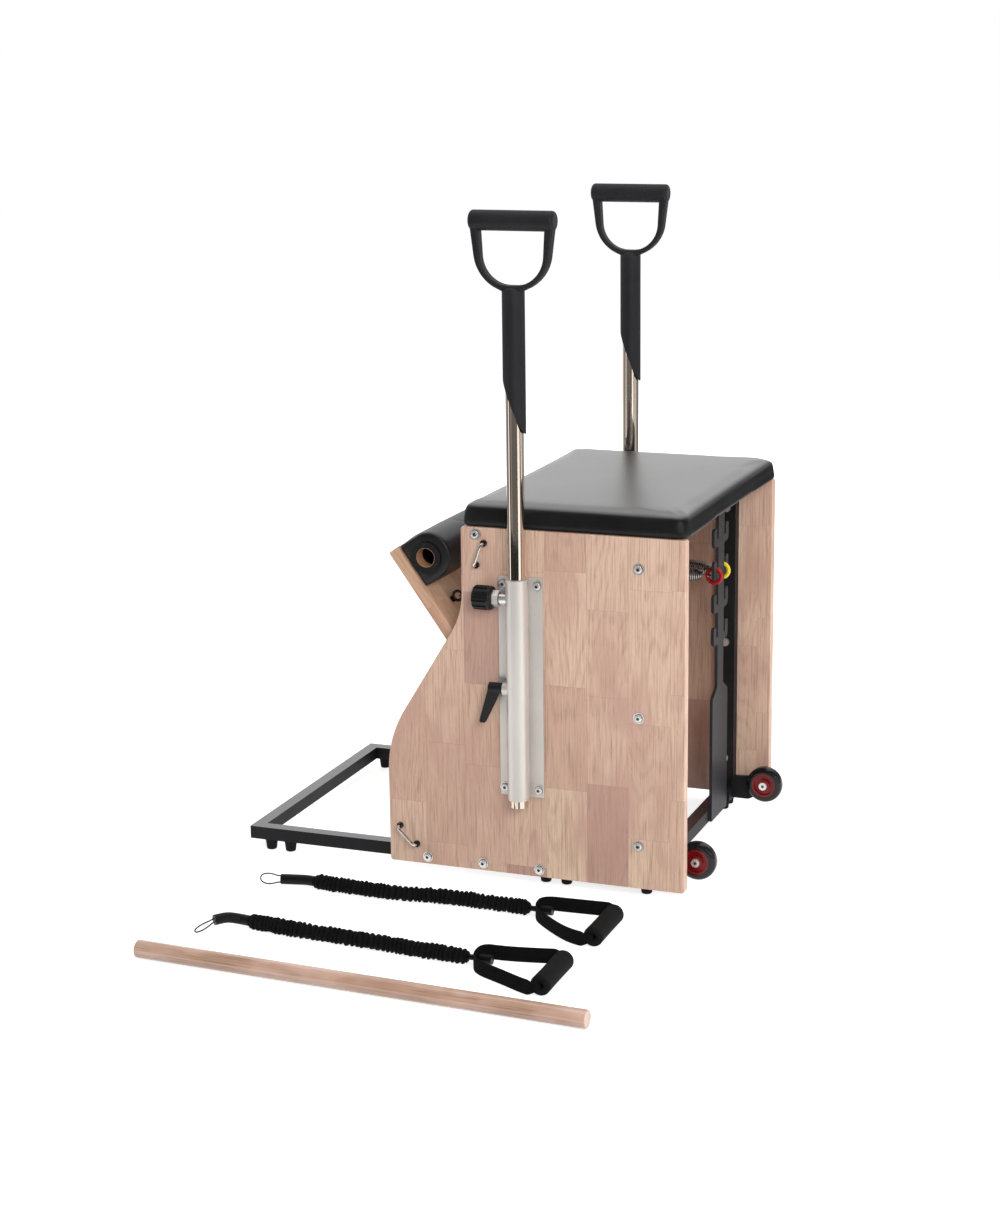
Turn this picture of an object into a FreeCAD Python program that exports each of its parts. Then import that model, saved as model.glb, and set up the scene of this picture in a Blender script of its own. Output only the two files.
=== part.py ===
import FreeCAD, Part
import math
import os

Vector = FreeCAD.Vector

# Frame: millimetres, +Z up from the floor, +X to the sitter's left, front towards -Y, the chair's
# middle plane at X = 0. The pedals are shown up, the masts at their lowest setting.

# Clearances
overrun = 2.0                # how far a cutting tool passes the face that it cuts
fit_gap = 0.08               # radial running gap of pins, axles and masts
bond_gap = 0.05              # gap of parts that are glued or pressed together
seat_gap = 0.3               # gap between moving pieces that stop against each other

# Side panels
chair_width = 549.0          # across the outer faces of both panels
panel_thickness = 18.0
panel_lift = 16.5            # floor to the panel's lower edge
panel_height = 580.5
panel_bottom_depth = 513.0
panel_top_depth = 377.0
panel_bend_shares = (0.3695, 0.7485)             # of the panel's height, bends of its front edge
panel_low_radius = 200.0
panel_high_radius = 130.0
panel_corner_radius = 5.0
panel_edge_round = 1.5
panel_rear_y = 374.0         # rear edge of the panels
upright_screw_shares = (0.125, 0.495, 0.914)     # of the panel's height
rail_screw_shares = (0.133, 0.326, 0.519)        # of the panel's lower depth, from the front

# Base frame of square tube
foot_height = 18.5
foot_top_radius = 10.8
foot_tip_radius = 8.6
foot_round = 2.5
tube_size = 22.0
tube_wall = 1.5
base_reach = 271.0           # base in front of the panels' lower front edge
rear_inset = 60.7            # rear face of the rear bars to the panels' rear edge
upright_depth = 32.0
front_feet_shares = (0.048, 0.098)               # of the base's depth, from the front
middle_feet_shares = (0.744, 0.794)
rail_overhang = 3.0          # rails behind the middle bar
rear_feet_steps = (0.0, 31.0)                    # inward along the rear bar
plug_length = 12.0
plug_head = 2.0
front_bar_inset = 26.0       # middle of the front seat bar behind the panels' upper front edge

# Socket screws
screw_shank_radius = 3.0
screw_head_radius = 6.5
screw_head_height = 4.0
screw_head_round = 2.2
screw_socket_width = 5.0     # across the flats
screw_socket_depth = 2.4
washer_radius = 9.0
washer_thickness = 1.4
nut_radius = 7.0
nut_height = 5.5
rail_screw_length = 26.0
bar_screw_length = 48.0
sleeve_screw_length = 16.0

# Seat
seat_board_thickness = 12.0
seat_board_inset = 14.0      # board inside the cushion's outline
cushion_side = 26.0          # upright part of the cushion's side
cushion_round = 11.0         # rounding of the upper edge
cushion_crown = 4.0
cushion_crown_reach = 110.0  # how far the crown rises inward from the rounded edge
cushion_foot_inset = 2.0
cushion_side_shares = ((1.0, 0.0), (0.3, 0.16), (0.0, 0.42), (0.0, 0.72))    # of inset and side
cushion_side_overhang = 2.5
cushion_front_overhang = 3.0
cushion_rear_overhang = 5.0
cushion_corner_radius = 14.0
cushion_draw_in = 2.5        # how far each side is drawn in between the corners

# Pedals
pedal_angle = 54.6           # degrees above the level at rest
hinge_setback = 177.5        # hinge axis in front of the panels' rear edge
hinge_height = 54.5
pedal_reach = 590.0          # hinge axis to the board's tip
pedal_start = 14.0           # hinge axis to the board's lower end
pedal_rise = 6.0             # board's underside above the hinge axis, square to the board
pedal_thickness = 20.0
pedal_side_gap = 6.5
pedal_middle_gap = 8.0
pedal_corner_radius = 4.0
pedal_edge_round = 1.5
pad_width = 82.0             # along the board
pad_height = 75.0
pad_rim_round = 5.0
pad_draw_in = 1.5            # the pad's hollow between its ends, along the crown
bush_flange_radius = 26.0
bush_flange_thickness = 3.0
bush_radius = 18.0
bush_length = 22.0
bore_radius = 15.5
bore_height = 31.0           # dowel bore above the board's upper face
knuckle_radius = 7.0
knuckle_length = 40.0
knuckle_spread = 140.0       # between the two knuckles of a pedal
leaf_thickness = 3.0
leaf_length = 70.0
hinge_pin_radius = 4.0
hinge_lug_thickness = 4.0
hinge_lug_radius = 8.5
hinge_head_radius = 7.0
hinge_head_length = 4.0
eye_reach = 470.0            # hinge axis to the spring eyes, along the board
eye_height = 12.0            # eye's middle above the board's upper face
eye_spread = 120.0
eye_ring_radius = 8.0
eye_wire_radius = 2.3
eye_shank_depth = 14.0
eye_collar_radius = 5.5
eye_collar_height = 2.5

# Spring racks and springs
rack_thickness = 5.0
rack_stem_width = 36.0
rack_slot_width = 10.0
rack_prong_width = 16.0
rack_slot_depth = 20.0
rack_arm_height = 13.0
rack_level_pitch = 57.8
rack_levels = 4
rack_top_tip = 58.5          # seat's underside to the tip of the highest prong
rack_foot_width = 94.0
rack_stem_length = 76.6      # stem between the lowest arm and the foot's flare
rack_flare_height = 17.0
rack_round = 5.0
rack_slot_round_share = 0.4  # of the slot's width
rack_lean = 8.0              # stem's top below the seat's underside
spring_level = 1             # rack level in use, counted from the top
ring_radius = 12.5
ring_wire_radius = 3.5
spring_radius = 11.0
spring_wire_radius = 1.4
spring_turns = 23
spring_taper_turns = 2
spring_lead = 14.0           # straight wire between the hook and the first turn
hook_gap = 0.35

# Masts, sleeves and grips
mast_diameter = 28.6
mast_wall = 2.0
mast_length = 818.0
mast_setback = 274.0         # mast axis in front of the panels' rear edge
mast_standoff = 20.3         # mast axis outside the panel's outer face
mast_foot_drop = 12.5        # mast's lower end below the sleeve
index_hole_radius = 4.4
index_hole_pitch = 50.0
index_hole_count = 5
sleeve_drop = 75.5           # sleeve's upper end below the panel's top
sleeve_length = 367.0
sleeve_diameter = 36.0
sleeve_flange_width = 75.0
sleeve_flange_thickness = 4.0
sleeve_web_share = 0.62      # of the sleeve's diameter
sleeve_screw_inset = 8.5
sleeve_screw_end = 13.0
grip_diameter = 36.0
grip_front_length = 114.0    # sheath below the mast's top, on the front side
grip_rear_length = 204.0
grip_rise = 142.5            # mast's top to the top of the bar
grip_bar_diameter = 32.0
grip_bar_length = 140.0
grip_bar_round = 6.0
grip_gap_height = 83.0       # bar's underside to the gap's floor
grip_gap_width = 110.0       # between the arms where they enter the bar
grip_gap_floor_share = 0.9   # of the gap's width, at its floor
grip_gap_round_share = 0.95  # of half the floor's width
grip_arm_width = 14.5        # of an arm where it enters the bar
grip_yoke_width = 116.0      # across the yoke's outer corners
grip_yoke_round_share = 1.1  # of half the yoke's width
grip_yoke_lift = 10.0        # the yoke's outer corners above the gap's floor
grip_yoke_depth = 10.0       # the yoke's underside below the gap's floor
grip_yoke_share = 0.4        # of the sheath's diameter, half the yoke's underside
grip_loop_thickness = 20.0
grip_edge_round = 3.6
grip_shoulder_round = 7.0

# Index plungers and clamping levers
plunger_drop = 34.0          # plunger axis below the sleeve's upper end
plunger_pin_radius = 4.0
plunger_barrel_radius = 9.0
plunger_housing_length = 22.0
plunger_nut_width = 24.0     # across the flats
plunger_nut_length = 11.0
knob_radius = 19.8
knob_length = 32.0
knob_round = 4.0
knob_flutes = 12
knob_flute_radius = 3.2
lever_rise = 184.5           # lever axis above the sleeve's lower end
lever_boss_radius = 11.0
lever_boss_length = 6.0
lever_hub_radius = 9.0
lever_hub_length = 24.0
lever_screw_radius = 4.0
lever_arm_drop = 60.0
lever_arm_swing = 19.0       # the arm's tip, forward of the hub's front
lever_arm_thickness = 11.0
lever_arm_root = 17.0
lever_arm_end = 11.0
lever_round = 3.0

# Band eyes on the panels, each from one leg to the other
eye_loop_standoff = 14.0
eye_loop_wire_radius = 2.5
eye_loop_bend = 6.0
eye_loop_depth = 10.0
eye_loop_collar_radius = 5.5
eye_loop_collar_height = 4.0
upper_eye_shares = ((0.079, 0.957), (0.053, 0.894))     # of the panel's lower depth and height
lower_eye_shares = ((0.038, 0.109), (0.096, 0.0585))
upper_eye_offset = panel_bottom_depth - panel_top_depth

# Transport wheels
wheel_diameter = 64.0
wheel_width = 22.0
wheel_inset = 44.5           # wheel's middle inside the panel's inner face
wheel_setback = 4.5          # wheel axis behind the panels' rear edge
wheel_height = 53.5
wheel_round = 8.0
wheel_side_gap = 0.6
hub_share = 0.655            # of the wheel's diameter
hub_recess = 5.0
hub_rim = 3.0
hub_boss_radius = 10.5
axle_radius = 4.0
axle_head_radius = 7.0
axle_head_height = 5.0
bracket_thickness = 4.0
bracket_flange = 30.0
bracket_end_radius = 11.0
bracket_bend_share = 0.9     # of the end's radius
bracket_height = 42.0

# Wooden dowel, lying on the floor beside the chair
dowel_diameter = 28.0
dowel_length = 737.0
dowel_middle = (779.0, 19.5)
dowel_turn = 2.3             # degrees, towards +X at its rear end
dowel_edge_round = 1.5

# Resistance bands, lying on the floor: hand-chosen routes of their middle lines in plan
band_diameter = 22.0
band_upper_route = ((399, -222), (404, -163), (407, -108), (404, -57), (398, -6), (395, 44), (398, 97),
                    (400, 156))
band_lower_route = ((596, -242), (604, -184), (608, -128), (610, -74), (614, -20), (619, 34), (622, 87),
                    (623, 139))
band_upper_tail = ((399, -222, 0), (397.7, -237, 0), (407, -279, 0))             # with the rise above the cord
band_lower_tail = ((596, -242, 0), (593.8, -258, 0), (606, -276, 6), (623, -291, 5))
tail_diameter = 17.0
stopper_neck_radius = 4.5
stopper_neck_length = 18.0
stopper_radius = 7.5
stopper_length = 21.0
hook_wire_radius = 1.2
hook_length = 35.0
hook_width = 18.0
hook_root_width = 11.0       # between the wire's two legs at the end sleeve
hook_depth = 7.0             # legs inside the end sleeve
hook_swell_share = 0.62      # of the hook's length, where it is widest
band_lower_dip = 22.0        # degrees, the lower band's hook from its raised end down to the floor
strap_thickness = 2.5
strap_width = 22.0
strap_stand = 1.3            # strap's front in front of the stopper's barrel
upper_strap_route = ((98.5, 123.5), (111, 123.5), (110, 104), (94, 71), (42, 14), (18, 0), (-18, 0), (-20, 53),
                     (-23, 104), (-24, 123.5), (-9.5, 123.5))                    # from the stopper's neck
lower_strap_route = ((83, 129.5), (95, 129.5), (94, 111), (67, 61), (46, 16), (22, 0), (-19, 0), (-18, 36),
                     (-29, 96), (-38, 129.5), (-25, 129.5))
foam_diameter = 32.0
foam_bore_radius = 5.0
foam_round = 2.0

# Worked-out places
outer = chair_width / 2
inner = outer - panel_thickness
panel_top = panel_lift + panel_height
panel_front = panel_rear_y - panel_bottom_depth
panel_top_front = panel_rear_y - panel_top_depth
base_front = panel_front - base_reach
rear_face = panel_rear_y - rear_inset
rail_inner = inner - tube_size
rail_top = foot_height + tube_size
rail_middle = foot_height + tube_size / 2
base_depth = rear_face - base_front
hinge_y = panel_rear_y - hinge_setback
rail_end = hinge_y + tube_size / 2 + rail_overhang
mast_x = outer + mast_standoff
mast_y = panel_rear_y - mast_setback
mast_radius = mast_diameter / 2
sleeve_radius = sleeve_diameter / 2
sleeve_top = panel_top - sleeve_drop
sleeve_bottom = sleeve_top - sleeve_length
mast_bottom = sleeve_bottom - mast_foot_drop
mast_top = mast_bottom + mast_length
sleeve_front = mast_y - sleeve_radius
plunger_z = sleeve_top - plunger_drop
lever_z = sleeve_bottom + lever_rise
plunger_front = sleeve_front - plunger_housing_length
lever_front = sleeve_front - lever_boss_length
pedal_inner = pedal_middle_gap / 2
pedal_outer = inner - pedal_side_gap
pedal_middle = (pedal_inner + pedal_outer) / 2
board_top = pedal_rise + pedal_thickness
wheel_x = inner - wheel_inset
wheel_y = panel_rear_y + wheel_setback
upright_middle = rear_face - upright_depth / 2
front_bar_y = panel_top_front + front_bar_inset
seat_bar_middle = panel_top - tube_size / 2

left = Vector(1, 0, 0)
back = Vector(0, 1, 0)
up = Vector(0, 0, 1)
origin = Vector(0, 0, 0)


def block(low, high):
    """Box between two opposite corners."""
    size = [b - a for a, b in zip(low, high)]
    return Part.makeBox(*size, Vector(*low))


def rod(start, direction, radius, length):
    """Round bar from a point along a direction."""
    return Part.makeCylinder(radius, length, Vector(*start), direction)


def mirrored(shape):
    """The same piece on the other side of the chair."""
    return shape.mirror(origin, left)


def rounded_wire(points, radii):
    """Closed outline whose corners are arcs of the given radii."""
    count = len(points)
    starts, ends, middles = [], [], []
    for index, corner in enumerate(points):
        before = (points[index - 1] - corner).normalize()
        after = (points[(index + 1) % count] - corner).normalize()
        radius = radii[index]
        half = math.acos(max(-1.0, min(1.0, before.dot(after)))) / 2
        reach = radius / math.tan(half)
        bisector = (before + after).normalize() if radius else Vector()
        starts.append(corner + before * reach)
        ends.append(corner + after * reach)
        middles.append(corner + bisector * (radius / math.sin(half) - radius))
    edges = []
    for index in range(count):
        if radii[index]:
            edges.append(Part.Arc(starts[index], middles[index], ends[index]).toShape())
        following = starts[(index + 1) % count]
        if ends[index].distanceToPoint(following) > bond_gap:
            edges.append(Part.LineSegment(ends[index], following).toShape())
    return Part.Wire(edges)


def slab(points, radii, depth):
    """Solid of a rounded outline, drawn out along a vector."""
    return Part.Face(rounded_wire(points, radii)).extrude(depth)


def square_bar(points, cavity, low, high):
    """Upright-sided tube from its plan outline and the plan outline of its cavity."""
    flat = [0] * len(points)
    solid = slab([Vector(x, y, low) for x, y in points], flat, up * (high - low))
    hollow_depth = up * (high - low - 2 * tube_wall)
    hollow = slab([Vector(x, y, low + tube_wall) for x, y in cavity], flat, hollow_depth)
    return solid.cut(hollow)


def cross_bar(half_length, y_low, z_low):
    """Square tube that runs across the chair, open at its ends."""
    high = (half_length, y_low + tube_size, z_low + tube_size)
    bar = block((-half_length, y_low, z_low), high)
    reach = half_length + overrun
    hollow = block((-reach, y_low + tube_wall, z_low + tube_wall),
                   (reach, high[1] - tube_wall, high[2] - tube_wall))
    return bar.cut(hollow)


def drilled(shape, places, direction, radius, length):
    """The shape with round holes that start at the given places."""
    tools = [rod(place, direction, radius, length) for place in places]
    return shape.cut(tools) if tools else shape


def export(node, pieces):
    """Writes one node, of one solid or of a group of separate solids."""
    shape = Part.makeCompound(pieces) if isinstance(pieces, list) else pieces
    for solid in shape.Solids:
        if not solid.isValid() or solid.Volume <= 0:
            print("check", node)
    shape.exportStep(os.path.join("parts", node + ".step"))


def biarc_edges(first, second):
    """Two arcs that leave the first point and reach the second along their given directions."""
    (p, t), (q, s) = first, second
    chord = q - p
    total = t + s
    spread = 2 * (1 - t.dot(s))
    along = chord.dot(total)
    if (chord.normalize() - t).Length < 1e-6 and spread < 1e-9:
        return [Part.LineSegment(p, q).toShape()]
    chord = q - p
    if spread < 1e-9:
        reach = chord.dot(chord) / (4 * chord.dot(s))
    else:
        reach = (-along + math.sqrt(along * along + spread * chord.dot(chord))) / spread
    corners = (p + t * reach, q - s * reach)
    join = (corners[0] + corners[1]) * 0.5
    edges = []
    for start, corner, end in ((p, corners[0], join), (join, corners[1], q)):
        middle = (start + end) * 0.5
        rise = corner - middle
        half = (end - start).Length / 2
        if rise.Length < 1e-7:
            edges.append(Part.LineSegment(start, end).toShape())
            continue
        sagitta = half * math.tan(math.atan2(rise.Length, half) / 2)
        edges.append(Part.Arc(start, middle + rise.normalize() * sagitta, end).toShape())
    return edges


def wire_tube(edges, radius, direction):
    """Round tube along joined edges, which start in the given direction."""
    path = Part.Wire(edges)
    start = edges[0].valueAt(edges[0].FirstParameter)
    ring = Part.Wire(Part.makeCircle(radius, start, direction))
    return path.makePipeShell([ring], True, False)


def cord_edges(points):
    """Straight runs joined by arcs as large as the runs allow, and the radii of those arcs."""
    run_share = 0.45
    edges, radii = [], []
    last = points[0]
    for before, corner, after in zip(points, points[1:], points[2:]):
        arrive = (before - corner).normalize()
        leave = (after - corner).normalize()
        shorter = min(before.distanceToPoint(corner), after.distanceToPoint(corner))
        reach = run_share * shorter
        half = arrive.getAngle(leave) / 2
        radius = reach * math.tan(half)
        start = corner + arrive * reach
        end = corner + leave * reach
        middle = corner + (arrive + leave).normalize() * (radius / math.sin(half) - radius)
        edges.append(Part.LineSegment(last, start).toShape())
        edges.append(Part.Arc(start, middle, end).toShape())
        radii.append(radius)
        last = end
    edges.append(Part.LineSegment(last, points[-1]).toShape())
    return edges, radii


def cord(points, diameter, name):
    """Tube of a cord along its route, with its radii and its length printed."""
    edges, radii = cord_edges(points)
    length = sum(edge.Length for edge in edges)
    tube = wire_tube(edges, diameter / 2, (points[1] - points[0]).normalize())
    share = tube.Volume / (math.pi * diameter ** 2 / 4 * length)
    print(name, "length", round(length, 1), "volume share", round(share, 4),
          "radii", [round(radius) for radius in radii])
    return tube


def hexagon(width, start, depth):
    """Six-sided bar along X about the X axis, with its width across the flats."""
    corner = width / math.sqrt(3)
    points = [Vector(start, corner * math.cos(math.radians(turn)), corner * math.sin(math.radians(turn)))
              for turn in range(0, 360, 60)]
    return slab(points, [0] * 6, left * depth)


def socket_screw(shank_length, nut_at=0.0):
    """Button-head screw with its washer, head outward along +X from the washer's seat."""
    washer = rod((0, 0, 0), left, washer_radius, washer_thickness)
    head = rod((washer_thickness, 0, 0), left, screw_head_radius, screw_head_height)
    crown = [edge for edge in head.Edges if edge.CenterOfMass.x > washer_thickness + screw_head_height / 2
             and edge.Closed]
    head = head.makeFillet(screw_head_round, crown)
    shank = rod((-shank_length, 0, 0), left, screw_shank_radius, shank_length)
    screw = washer.fuse([head, shank])
    mouth = washer_thickness + screw_head_height - screw_socket_depth
    screw = screw.cut(hexagon(screw_socket_width, mouth, screw_socket_depth + overrun))
    if nut_at:
        screw = screw.fuse(rod((-nut_at - nut_height, 0, 0), left, nut_radius, nut_height))
    return screw.removeSplitter()


# Places of the screws on the left panel, in the plane of its outer face
upright_places = [(outer, upright_middle, panel_lift + share * panel_height)
                  for share in upright_screw_shares]
rail_places = [(outer, panel_front + share * panel_bottom_depth, rail_middle)
               for share in rail_screw_shares]
bar_place = (outer, front_bar_y, seat_bar_middle)
sleeve_half = sleeve_flange_width / 2 - sleeve_screw_inset
sleeve_face = outer + sleeve_flange_thickness
sleeve_places = [(sleeve_face, mast_y + sign * sleeve_half, height)
                 for sign in (-1, 1)
                 for height in (sleeve_bottom + sleeve_screw_end, sleeve_top - sleeve_screw_end)]
hole_radius = screw_shank_radius + bond_gap


def eye_legs(shares, offset):
    """Two leg places of a band eye on the panel's outer face."""
    return [Vector(outer, panel_front + offset + along * panel_bottom_depth, panel_lift + height * panel_height)
            for along, height in shares]


band_eye_legs = [eye_legs(upper_eye_shares, upper_eye_offset), eye_legs(lower_eye_shares, 0)]


def side_panel():
    """Left panel: S-shaped front edge of two arcs and a slope, with its screw and eye holes."""
    low_bend, high_bend = [panel_lift + share * panel_height for share in panel_bend_shares]
    points = [(panel_rear_y, panel_lift), (panel_rear_y, panel_top), (panel_top_front, panel_top),
              (panel_top_front, high_bend), (panel_front, low_bend), (panel_front, panel_lift)]
    corner = panel_corner_radius
    radii = [corner, corner, corner, panel_high_radius, panel_low_radius, corner]
    panel = slab([Vector(inner, y, z) for y, z in points], radii, left * panel_thickness)
    rims = [edge for edge in panel.Edges if abs(edge.BoundBox.XLength) < bond_gap]
    panel = panel.makeFillet(panel_edge_round, rims)
    through = panel_thickness + overrun
    places = upright_places + rail_places + [bar_place]
    panel = drilled(panel, [(inner - overrun / 2, y, z) for _, y, z in places], left, hole_radius, through)
    sleeve_depth = sleeve_screw_length - sleeve_flange_thickness + seat_gap
    panel = drilled(panel, sleeve_holes(outer), -left, hole_radius, sleeve_depth)
    legs = [leg for pair in band_eye_legs for leg in pair]
    return drilled(panel, legs, -left, eye_loop_wire_radius + bond_gap, eye_loop_depth + seat_gap)


def sleeve_holes(x):
    """Places of the sleeve's screws in a plane of constant X."""
    return [(x, y, z) for _, y, z in sleeve_places]


def base_frame():
    """Rails with mitred front corners, the three cross bars and the two seat bars."""
    wall = tube_wall
    rear = rail_end
    rail_points = [(inner, base_front), (inner, rear), (rail_inner, rear), (rail_inner, base_front + tube_size)]
    rail_cavity = [(inner - wall, base_front + wall), (inner - wall, rear + overrun),
                   (rail_inner + wall, rear + overrun), (rail_inner + wall, base_front + tube_size - wall)]
    rail = square_bar(rail_points, rail_cavity, foot_height, rail_top)
    rail = drilled(rail, rail_places, -left, hole_radius, panel_thickness + tube_size / 2)
    export("base_rails", [rail, mirrored(rail)])
    far = base_front + tube_size
    front_points = [(inner, base_front), (rail_inner, far), (-rail_inner, far), (-inner, base_front)]
    front_cavity = [(inner - wall, base_front + wall), (rail_inner + wall, far - wall),
                    (-rail_inner - wall, far - wall), (-inner + wall, base_front + wall)]
    export("base_front_bar", square_bar(front_points, front_cavity, foot_height, rail_top))
    export("base_cross_bars", [cross_bar(rail_inner, hinge_y - tube_size / 2, foot_height),
                               cross_bar(inner, rear_face - tube_size, foot_height)])
    upright = block((rail_inner, rear_face - upright_depth, rail_top), (inner, rear_face, panel_top))
    hollow = block((rail_inner + wall, rear_face - upright_depth + wall, rail_top - overrun),
                   (inner - wall, rear_face - wall, panel_top + overrun))
    upright = upright.cut(hollow)
    upright = drilled(upright, upright_places, -left, hole_radius, panel_thickness + tube_size + overrun)
    rear_bar = cross_bar(rail_inner, rear_face - tube_size, panel_top - tube_size)
    export("rear_frame", [upright, mirrored(upright), rear_bar])
    front_bar = block((-inner, front_bar_y - tube_size / 2, panel_top - tube_size),
                      (inner, front_bar_y + tube_size / 2, panel_top))
    bar_depth = bar_screw_length + seat_gap
    for sign in (-1, 1):
        place = (sign * outer, front_bar_y, seat_bar_middle)
        front_bar = drilled(front_bar, [place], left * -sign, hole_radius, bar_depth)
    export("front_seat_bar", front_bar)


def feet_and_plugs():
    """Tapered rubber feet in pairs under the base, and the plugs in the rails' rear ends."""
    foot = Part.makeCone(foot_tip_radius, foot_top_radius, foot_height)
    rims = [edge for edge in foot.Edges if edge.Closed and edge.BoundBox.ZMax < bond_gap]
    foot = foot.makeFillet(foot_round, rims)
    rail_x = inner - tube_size / 2
    shares = front_feet_shares + middle_feet_shares
    places = [(rail_x, base_front + share * base_depth) for share in shares]
    places += [(rail_x - step, rear_face - tube_size / 2) for step in rear_feet_steps]
    feet = [foot.translated(Vector(sign * x, y, 0)) for x, y in places for sign in (1, -1)]
    export("base_feet", feet)
    wall = tube_wall + bond_gap
    core = block((rail_inner + wall, rail_end - plug_length, foot_height + wall),
                 (inner - wall, rail_end, rail_top - wall))
    cap = block((rail_inner, rail_end, foot_height), (inner, rail_end + plug_head, rail_top))
    plug = core.fuse(cap).removeSplitter()
    export("rail_plugs", [plug, mirrored(plug)])


def fasteners():
    """Screws of both panels and of both mast sleeves."""
    grip = panel_thickness + tube_size
    through = socket_screw(grip, grip)
    short = socket_screw(rail_screw_length)
    deep = socket_screw(bar_screw_length)
    screws = [through.translated(Vector(*place)) for place in upright_places]
    screws += [short.translated(Vector(*place)) for place in rail_places]
    screws.append(deep.translated(Vector(*bar_place)))
    small = socket_screw(sleeve_screw_length)
    screws += [small.translated(Vector(*place)) for place in sleeve_places]
    export("socket_screws", screws + [mirrored(screw) for screw in screws])


def band_eyes():
    """Bent rod loops that the bands clip to, two on each panel."""
    loops = []
    for first, second in band_eye_legs:
        run = (second - first).normalize()
        lift = left * eye_loop_standoff
        depth = left * eye_loop_depth
        bend = eye_loop_bend
        nodes = [(first - depth, left), (first + lift - left * bend, left), (first + lift + run * bend, run),
                 (second + lift - run * bend, run), (second + lift - left * bend, -left),
                 (second - depth, -left)]
        edges = [edge for pair in zip(nodes, nodes[1:]) for edge in biarc_edges(*pair)]
        loop = wire_tube(edges, eye_loop_wire_radius, left)
        collars = [rod(leg, left, eye_loop_collar_radius, eye_loop_collar_height) for leg in (first, second)]
        loops.append(loop.fuse(collars))
    export("band_eyes", loops + [mirrored(loop) for loop in loops])


def cushion_profile():
    """Inset and height of the cushion's sections, up its side, over the rounded edge and onto the crown."""
    rows = [(inset * cushion_foot_inset, height * cushion_side) for inset, height in cushion_side_shares]
    round_steps = 6
    for step in range(round_steps + 1):
        angle = math.pi / 2 * step / round_steps
        rows.append((cushion_round * (1 - math.cos(angle)), cushion_side + cushion_round * math.sin(angle)))
    crown_steps = 5
    for step in range(1, crown_steps + 1):
        share = step / crown_steps
        rise = cushion_crown * share * (2 - share)
        rows.append((cushion_round + cushion_crown_reach * share, cushion_side + cushion_round + rise))
    return rows


def cushion_section(inset, height):
    """Closed outline of the cushion at one height, each side drawn in between rounded corners."""
    half_x = outer + cushion_side_overhang - inset
    front = panel_top_front - cushion_front_overhang + inset
    rear = panel_rear_y + cushion_rear_overhang - inset
    radius = cushion_corner_radius
    z = panel_top + height
    corners = [(half_x, rear, 1, 1), (-half_x, rear, -1, 1), (-half_x, front, -1, -1), (half_x, front, 1, -1)]
    turn_share = 1 - math.sqrt(0.5)
    edges, ends = [], []
    for index, (x, y, sx, sy) in enumerate(corners):
        on_side = Vector(x, y - sy * radius, z)
        on_end = Vector(x - sx * radius, y, z)
        middle = Vector(x - sx * radius * turn_share, y - sy * radius * turn_share, z)
        first, last = (on_side, on_end) if index % 2 == 0 else (on_end, on_side)
        ends.append((first, last))
        edges.append(Part.Arc(first, middle, last).toShape())
    sides = []
    inward = [Vector(0, -1, 0), Vector(1, 0, 0), Vector(0, 1, 0), Vector(-1, 0, 0)]
    for index in range(4):
        start, end = ends[index][1], ends[(index + 1) % 4][0]
        middle = (start + end) * 0.5 + inward[index] * cushion_draw_in
        sides.append(Part.Arc(start, middle, end).toShape())
    return Part.Wire([edge for pair in zip(edges, sides) for edge in pair])


def seat():
    """Seat board inside the hollow underside of a crowned cushion."""
    cushion = Part.makeLoft([cushion_section(*row) for row in cushion_profile()], True, True)
    half_x = outer + cushion_side_overhang - seat_board_inset
    front = panel_top_front - cushion_front_overhang + seat_board_inset
    rear = panel_rear_y + cushion_rear_overhang - seat_board_inset
    board = block((-half_x, front, panel_top), (half_x, rear, panel_top + seat_board_thickness))
    pocket = block((-half_x - bond_gap, front - bond_gap, panel_top - overrun),
                   (half_x + bond_gap, rear + bond_gap, panel_top + seat_board_thickness))
    export("seat_board", board)
    export("seat_cushion", cushion.cut(pocket))


def raised(shape):
    """A pedal piece, drawn level with its hinge at the origin, turned up and set on the hinge."""
    turned = shape.copy()
    turned.rotate(origin, left, -pedal_angle)
    turned.translate(Vector(0, hinge_y, hinge_height))
    return turned


def raised_point(point):
    """The place of a pedal point once the pedal is up."""
    turn = FreeCAD.Rotation(left, -pedal_angle)
    return turn.multVec(point) + Vector(0, hinge_y, hinge_height)


eye_xs = [pedal_middle - eye_spread / 2, pedal_middle + eye_spread / 2]
eye_shank_radius = eye_wire_radius


def pedal_board():
    """Board of the left pedal with its edges eased and the holes of the spring eyes."""
    points = [Vector(pedal_inner, -pedal_start, pedal_rise), Vector(pedal_outer, -pedal_start, pedal_rise),
              Vector(pedal_outer, -pedal_reach, pedal_rise), Vector(pedal_inner, -pedal_reach, pedal_rise)]
    board = slab(points, [pedal_corner_radius] * 4, up * pedal_thickness)
    rims = [edge for edge in board.Edges if abs(edge.BoundBox.ZLength) < bond_gap]
    board = board.makeFillet(pedal_edge_round, rims)
    places = [(x, -eye_reach, board_top) for x in eye_xs]
    return drilled(board, places, -up, eye_shank_radius + bond_gap, eye_shank_depth + seat_gap)


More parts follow.
